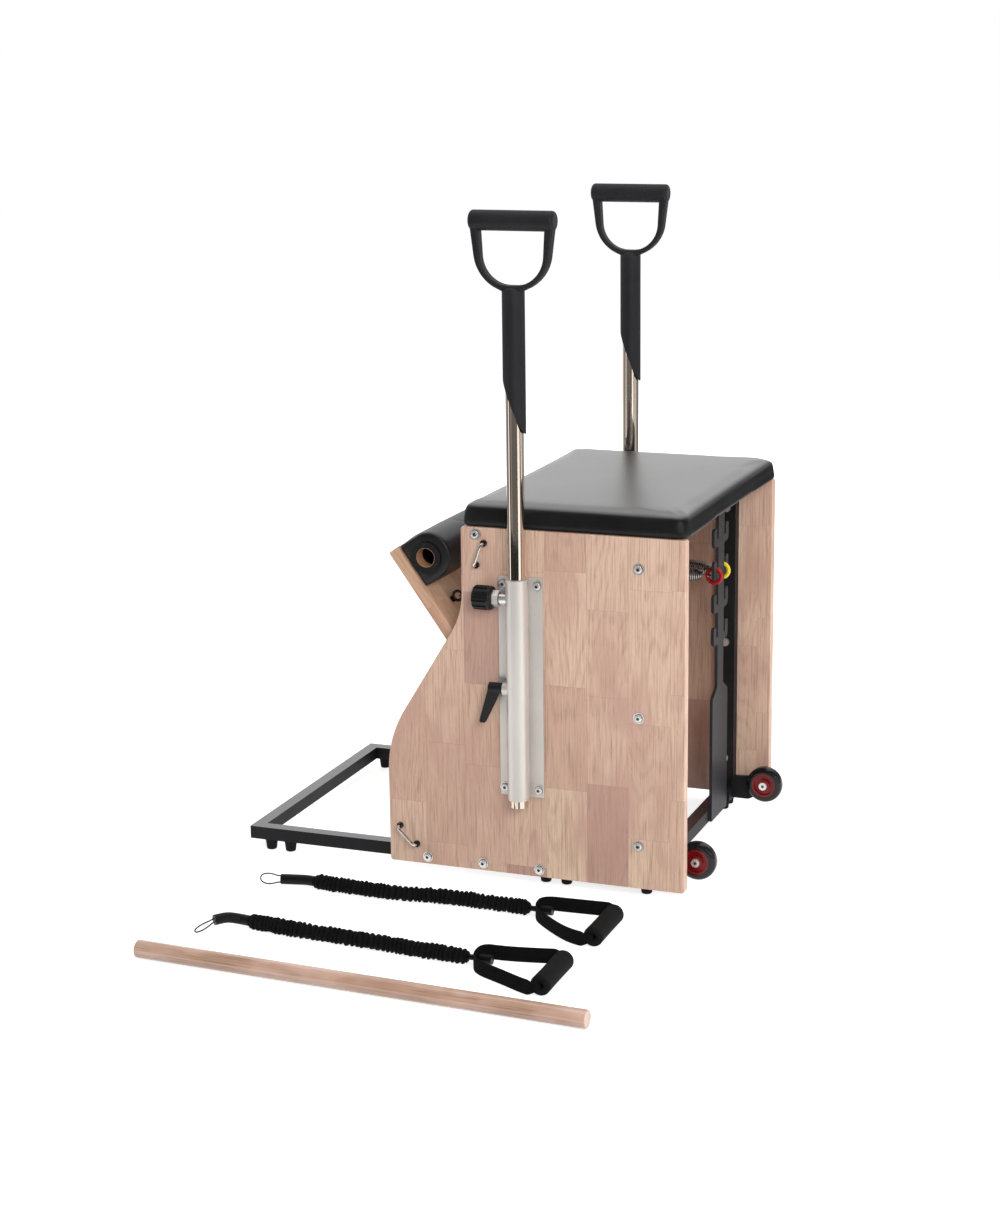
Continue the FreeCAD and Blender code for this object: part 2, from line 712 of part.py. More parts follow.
def pedal_pad():
    """Arch-shaped pad across the pedal's tip, a little slimmer at mid-length, with its dowel bore."""
    start = pedal_inner + bush_flange_thickness
    end = pedal_outer - bush_flange_thickness
    sections = []
    for x, slim in ((start, 0.0), ((start + end) / 2, pad_draw_in), (end, 0.0)):
        radius = pad_width / 2 - slim
        spring_line = board_top + pad_height - pad_width / 2
        middle = -pedal_reach + pad_width / 2
        low_a = Vector(x, middle - radius, board_top)
        low_b = Vector(x, middle + radius, board_top)
        high_a = Vector(x, middle - radius, spring_line)
        high_b = Vector(x, middle + radius, spring_line)
        crown = Vector(x, middle, spring_line + radius)
        slant = radius * math.sqrt(0.5)
        edges = [Part.LineSegment(low_b, high_b).toShape(),
                 Part.Arc(high_b, Vector(x, middle + slant, spring_line + slant), crown).toShape(),
                 Part.Arc(crown, Vector(x, middle - slant, spring_line + slant), high_a).toShape(),
                 Part.LineSegment(high_a, low_a).toShape(),
                 Part.LineSegment(low_a, low_b).toShape()]
        sections.append(Part.Wire(edges))
    pad = Part.makeLoft(sections, True, False)
    rims = [edge for edge in pad.Edges if abs(edge.BoundBox.XLength) < bond_gap
            and edge.CenterOfMass.z > board_top + bond_gap]
    pad = pad.makeFillet(pad_rim_round, rims)
    bore = (start - overrun, bore_y, bore_z)
    return drilled(pad, [bore], left, bush_radius + bond_gap, end - start + 2 * overrun)


bore_y = -pedal_reach + pad_width / 2
bore_z = board_top + bore_height


def pedal_bushes():
    """Flanged bushes in both ends of the pad's bore."""
    bushes = []
    ends = ((pedal_inner + bush_flange_thickness, left), (pedal_outer - bush_flange_thickness, -left))
    for face, direction in ends:
        place = (face, bore_y, bore_z)
        flange = rod(place, -direction, bush_flange_radius, bush_flange_thickness)
        sleeve = rod(place, direction, bush_radius, bush_length)
        bush = flange.fuse(sleeve).removeSplitter()
        start = Vector(*place) - direction * (bush_flange_thickness + overrun)
        tool = rod(start, direction, bore_radius, bush_flange_thickness + bush_length + 2 * overrun)
        bushes.append(bush.cut(tool))
    return bushes


knuckle_xs = [pedal_middle - knuckle_spread / 2, pedal_middle + knuckle_spread / 2]


def pedal_knuckles():
    """Hinge leaves under the pedal board, each with its knuckle."""
    knuckles = []
    for x in knuckle_xs:
        start = x - knuckle_length / 2
        knuckle = rod((start, 0, 0), left, knuckle_radius, knuckle_length)
        leaf_low = (start, -leaf_length, pedal_rise - leaf_thickness)
        leaf = block(leaf_low, (start + knuckle_length, 0, pedal_rise))
        knuckle = knuckle.fuse(leaf).removeSplitter()
        tool_length = knuckle_length + 2 * overrun
        hole = (start - overrun, 0, 0)
        knuckles.append(drilled(knuckle, [hole], left, hinge_pin_radius + fit_gap, tool_length))
    return knuckles


def spring_eyes():
    """Eye screws in the upper face of the pedal board."""
    eyes = []
    for x in eye_xs:
        centre = Vector(x, -eye_reach, board_top + eye_height)
        ring = Part.makeTorus(eye_ring_radius, eye_wire_radius, centre, left)
        foot = (x, -eye_reach, board_top - eye_shank_depth)
        shank = rod(foot, up, eye_shank_radius, eye_shank_depth + eye_height - eye_ring_radius)
        collar = rod((x, -eye_reach, board_top), up, eye_collar_radius, eye_collar_height)
        eyes.append(ring.fuse([shank, collar]))
    return eyes


def pedals():
    """Both pedals with their fittings."""
    pieces = (("pedal_board", pedal_board()), ("pedal_pad", pedal_pad()), ("pedal_bushes", pedal_bushes()),
              ("pedal_fittings", pedal_knuckles() + spring_eyes()))
    for name, piece in pieces:
        solids = piece if isinstance(piece, list) else [piece]
        solids = [raised(solid) for solid in solids]
        export(name + "_left", solids)
        export(name + "_right", [mirrored(solid) for solid in solids])


def hinge():
    """Rod through all knuckles, and the forked brackets on the middle bar that hold it."""
    brackets = []
    for x in knuckle_xs:
        low = x - knuckle_length / 2 - seat_gap - hinge_lug_thickness
        high = x + knuckle_length / 2 + seat_gap + hinge_lug_thickness
        base_low = hinge_y - hinge_lug_radius
        base_high = hinge_y + hinge_lug_radius
        bracket = block((low, base_low, rail_top), (high, base_high, rail_top + hinge_lug_thickness))
        lugs = []
        for start in (low, high - hinge_lug_thickness):
            lug = block((start, base_low, rail_top), (start + hinge_lug_thickness, base_high, hinge_height))
            lugs += [lug, rod((start, hinge_y, hinge_height), left, hinge_lug_radius, hinge_lug_thickness)]
        bracket = bracket.fuse(lugs).removeSplitter()
        start = (low - overrun, hinge_y, hinge_height)
        brackets.append(drilled(bracket, [start], left, hinge_pin_radius + fit_gap, high - low + 2 * overrun))
    export("hinge_brackets", brackets + [mirrored(bracket) for bracket in brackets])
    reach = knuckle_xs[1] + knuckle_length / 2 + seat_gap + hinge_lug_thickness + seat_gap
    pin = rod((-reach, hinge_y, hinge_height), left, hinge_pin_radius, 2 * reach)
    heads = [rod((start, hinge_y, hinge_height), left, hinge_head_radius, hinge_head_length)
             for start in (reach, -reach - hinge_head_length)]
    export("hinge_rod", pin.fuse(heads).removeSplitter())


rack_x = pedal_middle
rack_bottom = foot_height
slot_offset = rack_stem_width / 2 + rack_slot_width / 2
level_tips = [panel_top - rack_top_tip - level * rack_level_pitch for level in range(rack_levels)]
ring_z = level_tips[spring_level] - rack_slot_depth - rack_arm_height / 2
ring_hole = ring_radius - ring_wire_radius
ring_grip = math.sqrt(ring_hole ** 2 - (rack_arm_height / 2) ** 2) - seat_gap
ring_y = rear_face + rack_thickness - ring_grip


def rack_half():
    """Right half of the rack's outline from its top to its foot, with the corner radii."""
    stem = rack_stem_width / 2
    slot = stem + rack_slot_width
    reach = slot + rack_prong_width
    small = rack_slot_width * rack_slot_round_share
    points = [(stem, panel_top - rack_lean)]
    radii = [0]
    for tip in level_tips:
        floor = tip - rack_slot_depth
        arm = floor - rack_arm_height
        points += [(stem, floor), (slot, floor), (slot, tip), (reach, tip), (reach, arm), (stem, arm)]
        radii += [small, small, rack_round, rack_round, rack_round * 2, rack_round]
    neck = arm - rack_stem_length
    foot = rack_foot_width / 2
    points += [(stem, neck), (foot, neck - rack_flare_height), (foot, rack_bottom)]
    radii += [rack_round, rack_round, 0]
    return points, radii


def racks_and_springs():
    """Racks on the rear bars, the rings on their arms and the springs to the pedals."""
    points, radii = rack_half()
    mirror_points = [(-x, z) for x, z in reversed(points)]
    outline = [Vector(rack_x + x, rear_face, z) for x, z in points + mirror_points]
    rack = slab(outline, radii + radii[::-1], back * rack_thickness)
    export("spring_rack_left", rack)
    export("spring_rack_right", mirrored(rack))
    colours = (("red", rack_x - slot_offset, eye_xs[0]), ("yellow", rack_x + slot_offset, eye_xs[1]))
    for colour, ring_x, eye_x in colours:
        centre = Vector(ring_x, ring_y, ring_z)
        ring = Part.makeTorus(ring_radius, ring_wire_radius, centre, left)
        export("rings_" + colour, [ring, mirrored(ring)])
        eye = raised_point(Vector(eye_x, -eye_reach, board_top + eye_height))
        spring = pull_spring(eye, centre)
        export("spring_" + colour + "_left", spring)
        export("spring_" + colour + "_right", mirrored(spring))


def spring_nodes(start, end, hooks):
    """Points and directions of the wire: a hook, a tapered coil and a hook again."""
    axis = (end - start).normalize()
    side = (left - axis * left.dot(axis)).normalize()
    third = axis.cross(side)

    def at(centre, radius, turn):
        angle = 2 * math.pi * turn
        return centre + side * (radius * math.cos(angle)) + third * (radius * math.sin(angle))

    first, last = hooks
    nodes = [(start - side * first, -axis), (start - axis * first, side), (start + side * first, axis)]
    lead = start + axis * spring_lead
    nodes.append((lead + side * first, axis))
    coil_start = spring_lead + spring_wire_radius * 2
    coil_length = (end - start).Length - 2 * coil_start
    steps = 2 * spring_turns
    rows = []
    for step in range(steps + 1):
        turn = step / 2
        grow = min(1.0, turn / spring_taper_turns)
        shrink = min(1.0, (spring_turns - turn) / spring_taper_turns)
        radius = min(first + (spring_radius - first) * grow, last + (spring_radius - last) * shrink)
        rows.append((start + axis * (coil_start + coil_length * step / steps), radius, turn))
    rise = coil_length / spring_turns
    for centre, radius, turn in rows:
        angle = 2 * math.pi * turn
        round_way = third * math.cos(angle) - side * math.sin(angle)
        direction = (round_way * (2 * math.pi * radius) + axis * rise).normalize()
        nodes.append((at(centre, radius, turn), direction))
    tail = end - axis * spring_lead
    nodes += [(tail + side * last, axis), (end + side * last, axis), (end + axis * last, -side),
              (end - side * last, -axis)]
    return nodes


def pull_spring(eye, ring):
    """One unbroken wire from the pedal's eye to the rack's ring, with its least gap to itself printed."""
    way = Vector(0, ring.y - eye.y, ring.z - eye.z).normalize()
    start = eye + way * eye_ring_radius
    end = ring - way * ring_radius
    hooks = (eye_wire_radius + spring_wire_radius + hook_gap, ring_wire_radius + spring_wire_radius + hook_gap)
    nodes = spring_nodes(start, end, hooks)
    edges = [edge for pair in zip(nodes, nodes[1:]) for edge in biarc_edges(*pair)]
    tube = wire_tube(edges, spring_wire_radius, nodes[0][1])
    print("spring turns", spring_turns, "least gap to itself", round(self_gap(edges), 2))
    return tube


def self_gap(edges):
    """Least gap of a wire to itself, measured on points along it that lie some way apart."""
    step = spring_wire_radius
    points, places, travelled = [], [], 0.0
    for edge in edges:
        count = max(2, int(edge.Length / step))
        for part in range(count):
            reach = edge.Length * part / count
            points.append(edge.valueAt(edge.getParameterByLength(reach)))
            places.append(travelled + reach)
        travelled += edge.Length
    apart = 3 * math.pi * spring_wire_radius
    window = int(2 * math.pi * spring_radius * 2 / step)
    least = spring_radius * 2
    for index, point in enumerate(points):
        for other in range(index + 1, min(len(points), index + window)):
            if places[other] - places[index] > apart:
                least = min(least, point.distanceToPoint(points[other]))
    return least - 2 * spring_wire_radius


def mast_sleeve():
    """Extruded sleeve on the left panel: round tube, web, flange, screw holes and lever boss."""
    axis = (mast_x, mast_y)
    barrel = rod((*axis, sleeve_bottom), up, sleeve_radius, sleeve_length)
    half = sleeve_flange_width / 2
    flange = block((outer, mast_y - half, sleeve_bottom), (sleeve_face, mast_y + half, sleeve_top))
    web_half = sleeve_diameter * sleeve_web_share / 2
    web = block((outer, mast_y - web_half, sleeve_bottom), (mast_x, mast_y + web_half, sleeve_top))
    boss_length = lever_boss_length + sleeve_radius
    boss = rod((mast_x, mast_y, lever_z), -back, lever_boss_radius, boss_length)
    sleeve = barrel.fuse([flange, web, boss]).removeSplitter()
    bore = rod((*axis, sleeve_bottom - overrun), up, mast_radius + fit_gap, sleeve_length + 2 * overrun)
    sleeve = sleeve.cut(bore)
    pin_places = [(mast_x, mast_y, plunger_z)]
    sleeve = drilled(sleeve, pin_places, -back, plunger_pin_radius + fit_gap, sleeve_radius + overrun)
    screw_places = [(mast_x, mast_y, lever_z)]
    sleeve = drilled(sleeve, screw_places, -back, lever_screw_radius + fit_gap, boss_length + overrun)
    return drilled(sleeve, sleeve_holes(sleeve_face), -left, hole_radius, sleeve_flange_thickness + overrun)


def mast_tube():
    """Mast tube with its row of index holes on the front."""
    axis = (mast_x, mast_y)
    tube = rod((*axis, mast_bottom), up, mast_radius, mast_length)
    hollow = rod((*axis, mast_bottom - overrun), up, mast_radius - mast_wall, mast_length + 2 * overrun)
    tube = tube.cut(hollow)
    places = [(mast_x, mast_y, plunger_z - index * index_hole_pitch) for index in range(index_hole_count)]
    return drilled(tube, places, -back, index_hole_radius, mast_radius + overrun)


def mast_grip():
    """Sheath over the mast's top with a slanted lower end, and the D-shaped grip above it."""
    radius = grip_diameter / 2
    sheath_bottom = mast_top - grip_rear_length
    gap_floor = mast_top + grip_rise - grip_bar_diameter - grip_gap_height
    sheath_top = gap_floor - grip_edge_round
    sheath = rod((mast_x, mast_y, sheath_bottom), up, radius, sheath_top - sheath_bottom)
    rims = [edge for edge in sheath.Edges if edge.Closed and edge.CenterOfMass.z > mast_top]
    sheath = sheath.makeFillet(grip_shoulder_round, rims)
    slant = [Vector(mast_x - radius - overrun, mast_y + radius, sheath_bottom),
             Vector(mast_x - radius - overrun, mast_y - radius, mast_top - grip_front_length),
             Vector(mast_x - radius - overrun, mast_y - radius - overrun, mast_top - grip_front_length),
             Vector(mast_x - radius - overrun, mast_y - radius - overrun, sheath_bottom - overrun),
             Vector(mast_x - radius - overrun, mast_y + radius, sheath_bottom - overrun)]
    cutter = slab(slant, [0] * len(slant), left * (grip_diameter + 2 * overrun))
    sheath = sheath.cut(cutter)
    middle = mast_top + grip_rise - grip_bar_diameter / 2
    bar = rod((mast_x, mast_y - grip_bar_length / 2, middle), back, grip_bar_diameter / 2, grip_bar_length)
    rims = [edge for edge in bar.Edges if edge.Closed and abs(edge.BoundBox.YLength) < bond_gap]
    bar = bar.makeFillet(grip_bar_round, rims)
    grip = grip_yoke(gap_floor, middle).fuse([sheath, bar]).removeSplitter()
    depth = grip_rear_length + overrun
    socket = rod((mast_x, mast_y, mast_top - depth), up, mast_radius + bond_gap, depth)
    return grip.cut(socket)


def grip_yoke(gap_floor, bar_middle):
    """U-shaped yoke in the fore-and-aft plane, whose arms widen towards the bar that they carry."""
    gap_half = grip_gap_width / 2
    floor_half = gap_half * grip_gap_floor_share
    arm_half = gap_half + grip_arm_width
    yoke_half = grip_yoke_width / 2
    foot_half = grip_diameter * grip_yoke_share
    corner_z = gap_floor + grip_yoke_lift
    foot_z = gap_floor - grip_yoke_depth
    outline = [(arm_half, bar_middle), (yoke_half, corner_z), (foot_half, foot_z), (-foot_half, foot_z),
               (-yoke_half, corner_z), (-arm_half, bar_middle), (-gap_half, bar_middle),
               (-floor_half, gap_floor), (floor_half, gap_floor), (gap_half, bar_middle)]
    outer_radius = yoke_half * grip_yoke_round_share
    inner_radius = floor_half * grip_gap_round_share
    radii = [0, outer_radius, 0, 0, outer_radius, 0, 0, inner_radius, inner_radius, 0]
    x = mast_x - grip_loop_thickness / 2
    yoke = slab([Vector(x, mast_y + y, z) for y, z in outline], radii, left * grip_loop_thickness)
    rims = [edge for edge in yoke.Edges if abs(edge.BoundBox.XLength) < bond_gap
            and foot_z + bond_gap < edge.CenterOfMass.z < bar_middle - bond_gap]
    return yoke.makeFillet(grip_edge_round, rims)


def index_plunger():
    """Threaded housing with its hexagon, and the fluted pull knob with its pin."""
    start = (mast_x, mast_y, plunger_z)
    barrel = rod(start, -back, plunger_barrel_radius, mast_y - plunger_front)
    corner = plunger_nut_width / math.sqrt(3)
    points = []
    for turn in range(30, 390, 60):
        angle = math.radians(turn)
        across, rise = corner * math.cos(angle), corner * math.sin(angle)
        points.append(Vector(mast_x + across, plunger_front, plunger_z + rise))
    nut = slab(points, [0] * 6, back * plunger_nut_length)
    housing = barrel.fuse(nut).removeSplitter()
    solid_sleeve = rod((mast_x, mast_y, sleeve_bottom), up, sleeve_radius + bond_gap, sleeve_length)
    housing = housing.cut(solid_sleeve)
    bore_length = plunger_housing_length + overrun
    bore_start = (mast_x, plunger_front - overrun, plunger_z)
    housing = drilled(housing, [bore_start], back, plunger_pin_radius + fit_gap, bore_length + sleeve_radius)
    knob_back = plunger_front - seat_gap
    knob = rod((mast_x, knob_back - knob_length, plunger_z), back, knob_radius, knob_length)
    rims = [edge for edge in knob.Edges if edge.Closed and abs(edge.BoundBox.YLength) < bond_gap]
    knob = knob.makeFillet(knob_round, rims)
    flutes = []
    for index in range(knob_flutes):
        angle = 2 * math.pi * index / knob_flutes
        place = (mast_x + knob_radius * math.cos(angle), knob_back - knob_length - overrun,
                 plunger_z + knob_radius * math.sin(angle))
        flutes.append(rod(place, back, knob_flute_radius, knob_length * 0.8 + overrun))
    knob = knob.cut(flutes)
    pin_end = mast_y - mast_radius - seat_gap
    pin = rod((mast_x, knob_back - knob_length / 2, plunger_z), back, plunger_pin_radius,
              pin_end - knob_back + knob_length / 2)
    return housing, knob.fuse(pin).removeSplitter()


def clamp_lever():
    """Clamping lever on the sleeve's boss: hub, screw and a hanging arm that leans forward."""
    hub_back = lever_front - seat_gap
    hub_front = hub_back - lever_hub_length
    hub = rod((mast_x, hub_back, lever_z), -back, lever_hub_radius, lever_hub_length)
    tip_y = hub_front - lever_arm_swing
    tip_z = lever_z - lever_arm_drop
    x = mast_x - lever_arm_thickness / 2
    top = lever_z + lever_hub_radius * 0.6
    points = [Vector(x, hub_front, top), Vector(x, hub_front + lever_arm_root, top),
              Vector(x, hub_front + lever_arm_root, lever_z - lever_hub_radius),
              Vector(x, tip_y + lever_arm_end, tip_z), Vector(x, tip_y, tip_z)]
    bend = lever_arm_end / 3
    arm = slab(points, [bend, bend, lever_arm_root, bend, bend], left * lever_arm_thickness)
    rims = [edge for edge in arm.Edges if abs(edge.BoundBox.XLength) < bond_gap]
    arm = arm.makeFillet(lever_round, rims)
    screw_end = mast_y - mast_radius - seat_gap
    screw = rod((mast_x, hub_back - lever_hub_length / 2, lever_z), back, lever_screw_radius,
                screw_end - hub_back + lever_hub_length / 2)
    return hub.fuse([arm, screw]).removeSplitter()


def masts():
    """Masts with their sleeves, grips, plungers and levers on both sides."""
    housing, knob = index_plunger()
    export("index_housings", [housing, mirrored(housing)])
    pieces = (("mast_sleeve", mast_sleeve()), ("mast_tube", mast_tube()), ("mast_grip", mast_grip()),
              ("index_knob", knob), ("clamp_lever", clamp_lever()))
    for name, piece in pieces:
        export(name + "_left", piece)
        export(name + "_right", mirrored(piece))


def turned(profile):
    """Solid of revolution about the X axis from its points of place and radius."""
    return Part.Face(rounded_wire(*profile)).revolve(origin, left, 360)


def wheels():
    """Wheels with tyre and hub on their axle bolts, and the two like brackets on the rear bar."""
    half = wheel_width / 2
    radius = wheel_diameter / 2
    hub_radius = radius * hub_share
    tyre_hole = hub_radius + bond_gap
    tyre_points = [Vector(-half, 0, tyre_hole), Vector(half, 0, tyre_hole), Vector(half, 0, radius),
                   Vector(-half, 0, radius)]
    tyre = turned((tyre_points, [0, 0, wheel_round, wheel_round]))
    hole = axle_radius + fit_gap
    web = half - hub_recess
    rim = hub_radius - hub_rim
    side = [(half, hole), (half, hub_boss_radius), (web, hub_boss_radius), (web, rim), (half, rim),
            (half, hub_radius)]
    hub_points = [Vector(x, 0, r) for x, r in side] + [Vector(-x, 0, r) for x, r in reversed(side)]
    hub = turned((hub_points, [0] * len(hub_points)))
    plate_high = -half - wheel_side_gap
    plate_low = plate_high - bracket_thickness
    axle_start = plate_low - nut_height
    axle_end = half + wheel_side_gap
    axle = rod((axle_start, 0, 0), left, axle_radius, axle_end - axle_start)
    head = rod((axle_end, 0, 0), left, axle_head_radius, axle_head_height)
    mouth = axle_end + axle_head_height - screw_socket_depth
    head = head.cut(hexagon(screw_socket_width, mouth, screw_socket_depth + overrun))
    nut = rod((axle_start, 0, 0), left, nut_radius, nut_height)
    axle = axle.fuse([head, nut]).removeSplitter()
    face = rear_face - wheel_y
    low = foot_height - wheel_height
    points = [Vector(plate_low, face, low), Vector(plate_low, face, low + bracket_height),
              Vector(plate_low, bracket_end_radius, bracket_end_radius),
              Vector(plate_low, bracket_end_radius, -bracket_end_radius),
              Vector(plate_low, face / 2, low)]
    bend = bracket_end_radius * bracket_bend_share
    plate = slab(points, [0, bend, bend, bend, bend], left * bracket_thickness)
    flange = block((plate_low, face, low),
                   (plate_low + bracket_flange, face + bracket_thickness, low + tube_size))
    bracket = plate.fuse(flange).removeSplitter()
    bracket = drilled(bracket, [(plate_low - overrun, 0, 0)], left, axle_radius + bond_gap,
                      bracket_thickness + 2 * overrun)
    brackets, axles = [], []
    for side_name, sign in (("left", 1), ("right", -1)):
        place = Vector(sign * wheel_x, wheel_y, wheel_height)
        export("wheel_tyre_" + side_name, tyre.translated(place))
        export("wheel_hub_" + side_name, hub.translated(place))
        brackets.append(bracket.translated(place))
        axles.append(axle.translated(place))
    export("wheel_brackets", brackets)
    export("wheel_axles", axles)


def dowel():
    """Round wooden bar that joins the pedals, lying on the floor."""
    radius = dowel_diameter / 2
    bar = rod((0, -dowel_length / 2, radius), back, radius, dowel_length)
    rims = [edge for edge in bar.Edges if edge.Closed and abs(edge.BoundBox.YLength) < bond_gap]
    bar = bar.makeFillet(dowel_edge_round, rims)
    bar.rotate(origin, up, -dowel_turn)
    bar.translate(Vector(*dowel_middle, 0))
    export("pedal_dowel", bar)


def strap_and_grip(start, route, name):
    """Foam grip, and the webbing that runs from its ends round the front of the stopper's neck."""
    level = foam_diameter / 2
    near, far = [Vector(start.x + x, start.y + y, level) for x, y in (route[0], route[-1])]
    length = near.x - far.x
    grip = rod(far, left, foam_diameter / 2, length)
    rims = [edge for edge in grip.Edges if edge.Closed and abs(edge.BoundBox.XLength) < bond_gap]
    grip = grip.makeFillet(foam_round, rims)
    grip = drilled(grip, [far - left * overrun], left, foam_bore_radius, length + 2 * overrun)
    export("band_grip_" + name, grip)
    low = level - strap_width / 2
    nodes = [Vector(start.x + x, start.y + y, low) for x, y in route]
    edges, _ = cord_edges(nodes)
    across = back * (strap_thickness / 2)
    corners = [nodes[0] - across, nodes[0] + across, nodes[0] + across + up * strap_width,
               nodes[0] - across + up * strap_width]
    profile = Part.makePolygon(corners + corners[:1])
    strap = Part.Wire(edges).makePipeShell([profile], True, False)
    hole = (start.x, start.y - strap_thickness, start.z)
    strap = drilled(strap, [hole], back, stopper_neck_radius + seat_gap, 2 * strap_thickness)
    export("band_strap_" + name, strap)


def band(name, route, tail, hook_side, hook_dip, strap_route):
    """One band: cord, end sleeve and stopper, wire hook, strap and grip."""
    level = band_diameter / 2
    points = [Vector(x, y, level) for x, y in route]
    export("band_cord_" + name, cord(points, band_diameter, "band_" + name))
    tail_points = [Vector(x, y, level + rise) for x, y, rise in tail]
    tail_points[0] = tail_points[0] + (tail_points[1] - tail_points[0]).normalize() * seat_gap
    sleeve = cord(tail_points, tail_diameter, "tail_" + name)
    end = tail_points[-1]
    run = end - tail_points[-2]
    dip = math.radians(hook_dip)
    out = Vector(run.x, run.y, 0).normalize() * math.cos(dip) - up * math.sin(dip)
    side = hook_side.cross(out).normalize()
    legs = [end + side * (sign * hook_root_width / 2) for sign in (1, -1)]
    leg_hole = hook_wire_radius + bond_gap
    sleeve = drilled(sleeve, [leg + out * hook_depth for leg in legs], -out, leg_hole, 2 * hook_depth)
    neck = rod(points[-1] + back * seat_gap, back, stopper_neck_radius, stopper_neck_length)
    barrel = rod(points[-1] + back * stopper_neck_length, back, stopper_radius, stopper_length)
    export("band_ends_" + name, [sleeve, neck.fuse(barrel).removeSplitter()])
    export("band_hook_" + name, wire_hook(end, out, side, legs))
    strap_start = points[-1] + back * (stopper_neck_length - strap_thickness / 2 - strap_stand)
    strap_and_grip(strap_start, strap_route, name)


def wire_hook(end, out, side, legs):
    """Pear-shaped loop of wire whose two legs enter the end sleeve."""
    swell = end + out * (hook_length * hook_swell_share)
    half = side * (hook_width / 2)
    depth = out * (hook_depth - seat_gap)
    nodes = [(legs[0] - depth, out), (legs[0], out), (swell + half, out), (end + out * hook_length, -side),
             (swell - half, -out), (legs[1], -out), (legs[1] - depth, -out)]
    edges = [edge for pair in zip(nodes, nodes[1:]) for edge in biarc_edges(*pair)]
    return wire_tube(edges, hook_wire_radius, out)


os.makedirs("parts", exist_ok=True)
panel_left = side_panel()
export("side_panel_left", panel_left)
export("side_panel_right", mirrored(panel_left))
base_frame()
feet_and_plugs()
fasteners()
band_eyes()
seat()
pedals()
hinge()
racks_and_springs()
masts()
wheels()
dowel()
band("upper", band_upper_route, band_upper_tail, left, 0, upper_strap_route)
band("lower", band_lower_route, band_lower_tail, up, band_lower_dip, lower_strap_route)
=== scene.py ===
"""Looks of a pilates chair with its loose dowel and resistance bands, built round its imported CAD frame."""

import logging
import math
from collections.abc import Callable, Sequence
from dataclasses import dataclass, field
from enum import Enum

import bmesh
import bpy
import numpy as np
from mathutils import Matrix


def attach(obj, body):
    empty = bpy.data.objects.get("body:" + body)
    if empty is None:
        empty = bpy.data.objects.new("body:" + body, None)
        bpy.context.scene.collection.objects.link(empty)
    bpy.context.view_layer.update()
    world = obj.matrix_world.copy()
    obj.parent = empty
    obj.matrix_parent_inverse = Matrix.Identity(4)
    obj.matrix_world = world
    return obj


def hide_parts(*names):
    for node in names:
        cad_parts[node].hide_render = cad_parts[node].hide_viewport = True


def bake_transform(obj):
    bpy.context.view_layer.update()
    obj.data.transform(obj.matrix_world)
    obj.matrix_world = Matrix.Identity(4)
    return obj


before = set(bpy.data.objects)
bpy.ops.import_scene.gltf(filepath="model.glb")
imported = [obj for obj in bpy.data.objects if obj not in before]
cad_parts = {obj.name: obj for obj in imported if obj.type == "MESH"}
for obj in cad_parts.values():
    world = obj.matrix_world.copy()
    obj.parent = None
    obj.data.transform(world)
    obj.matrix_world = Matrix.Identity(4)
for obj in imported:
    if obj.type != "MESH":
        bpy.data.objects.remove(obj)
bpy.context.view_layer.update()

LOG = logging.getLogger("pilates_chair")
MM = 0.001
UP = np.array([0.0, 0.0, 1.0])
WHITE = (1.0, 1.0, 1.0)

# The pedals' hinge, their angle above the level, and the dowel bore and spring eyes of a level pedal
HINGE = np.array([0.0, 196.5, 54.5])
PEDAL_ANGLE = 54.6
BORE_AXIS = np.array([0.0, -549.0, 57.0])
SPRING_EYES = np.array([0.0, -470.0, 38.0])

# How finely routes are read, and how long and how softly padded pieces swell
SPLINE_STEPS = 24
SWELL_FRAMES = 20
SMOOTH_SHARE = 0.5
SMOOTH_PASSES = 3

Colour = tuple[float, float, float]
Place = tuple[float, float, float]
Array = np.ndarray
Node = bpy.types.Node
Socket = bpy.types.NodeSocket
Tree = bpy.types.NodeTree
Material = bpy.types.Material
Piece = bpy.types.Object
Outputs = bpy.types.bpy_prop_collection


class Side(Enum):
    """The two sides of the chair, as the sitter names them."""

    LEFT = "left"
    RIGHT = "right"

    @property
    def sign(self) -> int:
        """Direction of this side along X."""
        return 1 if self is Side.LEFT else -1


class Grain(Enum):
    """Which way the wood's grain runs, as the turn that brings it to the pattern's own Y axis."""

    UPRIGHT = (math.radians(-90), math.radians(-90), 0.0)
    PEDAL = (math.radians(PEDAL_ANGLE), 0.0, 0.0)
    ACROSS = (0.0, 0.0, math.radians(90))
    DOWEL = (0.0, 0.0, math.radians(2.3))


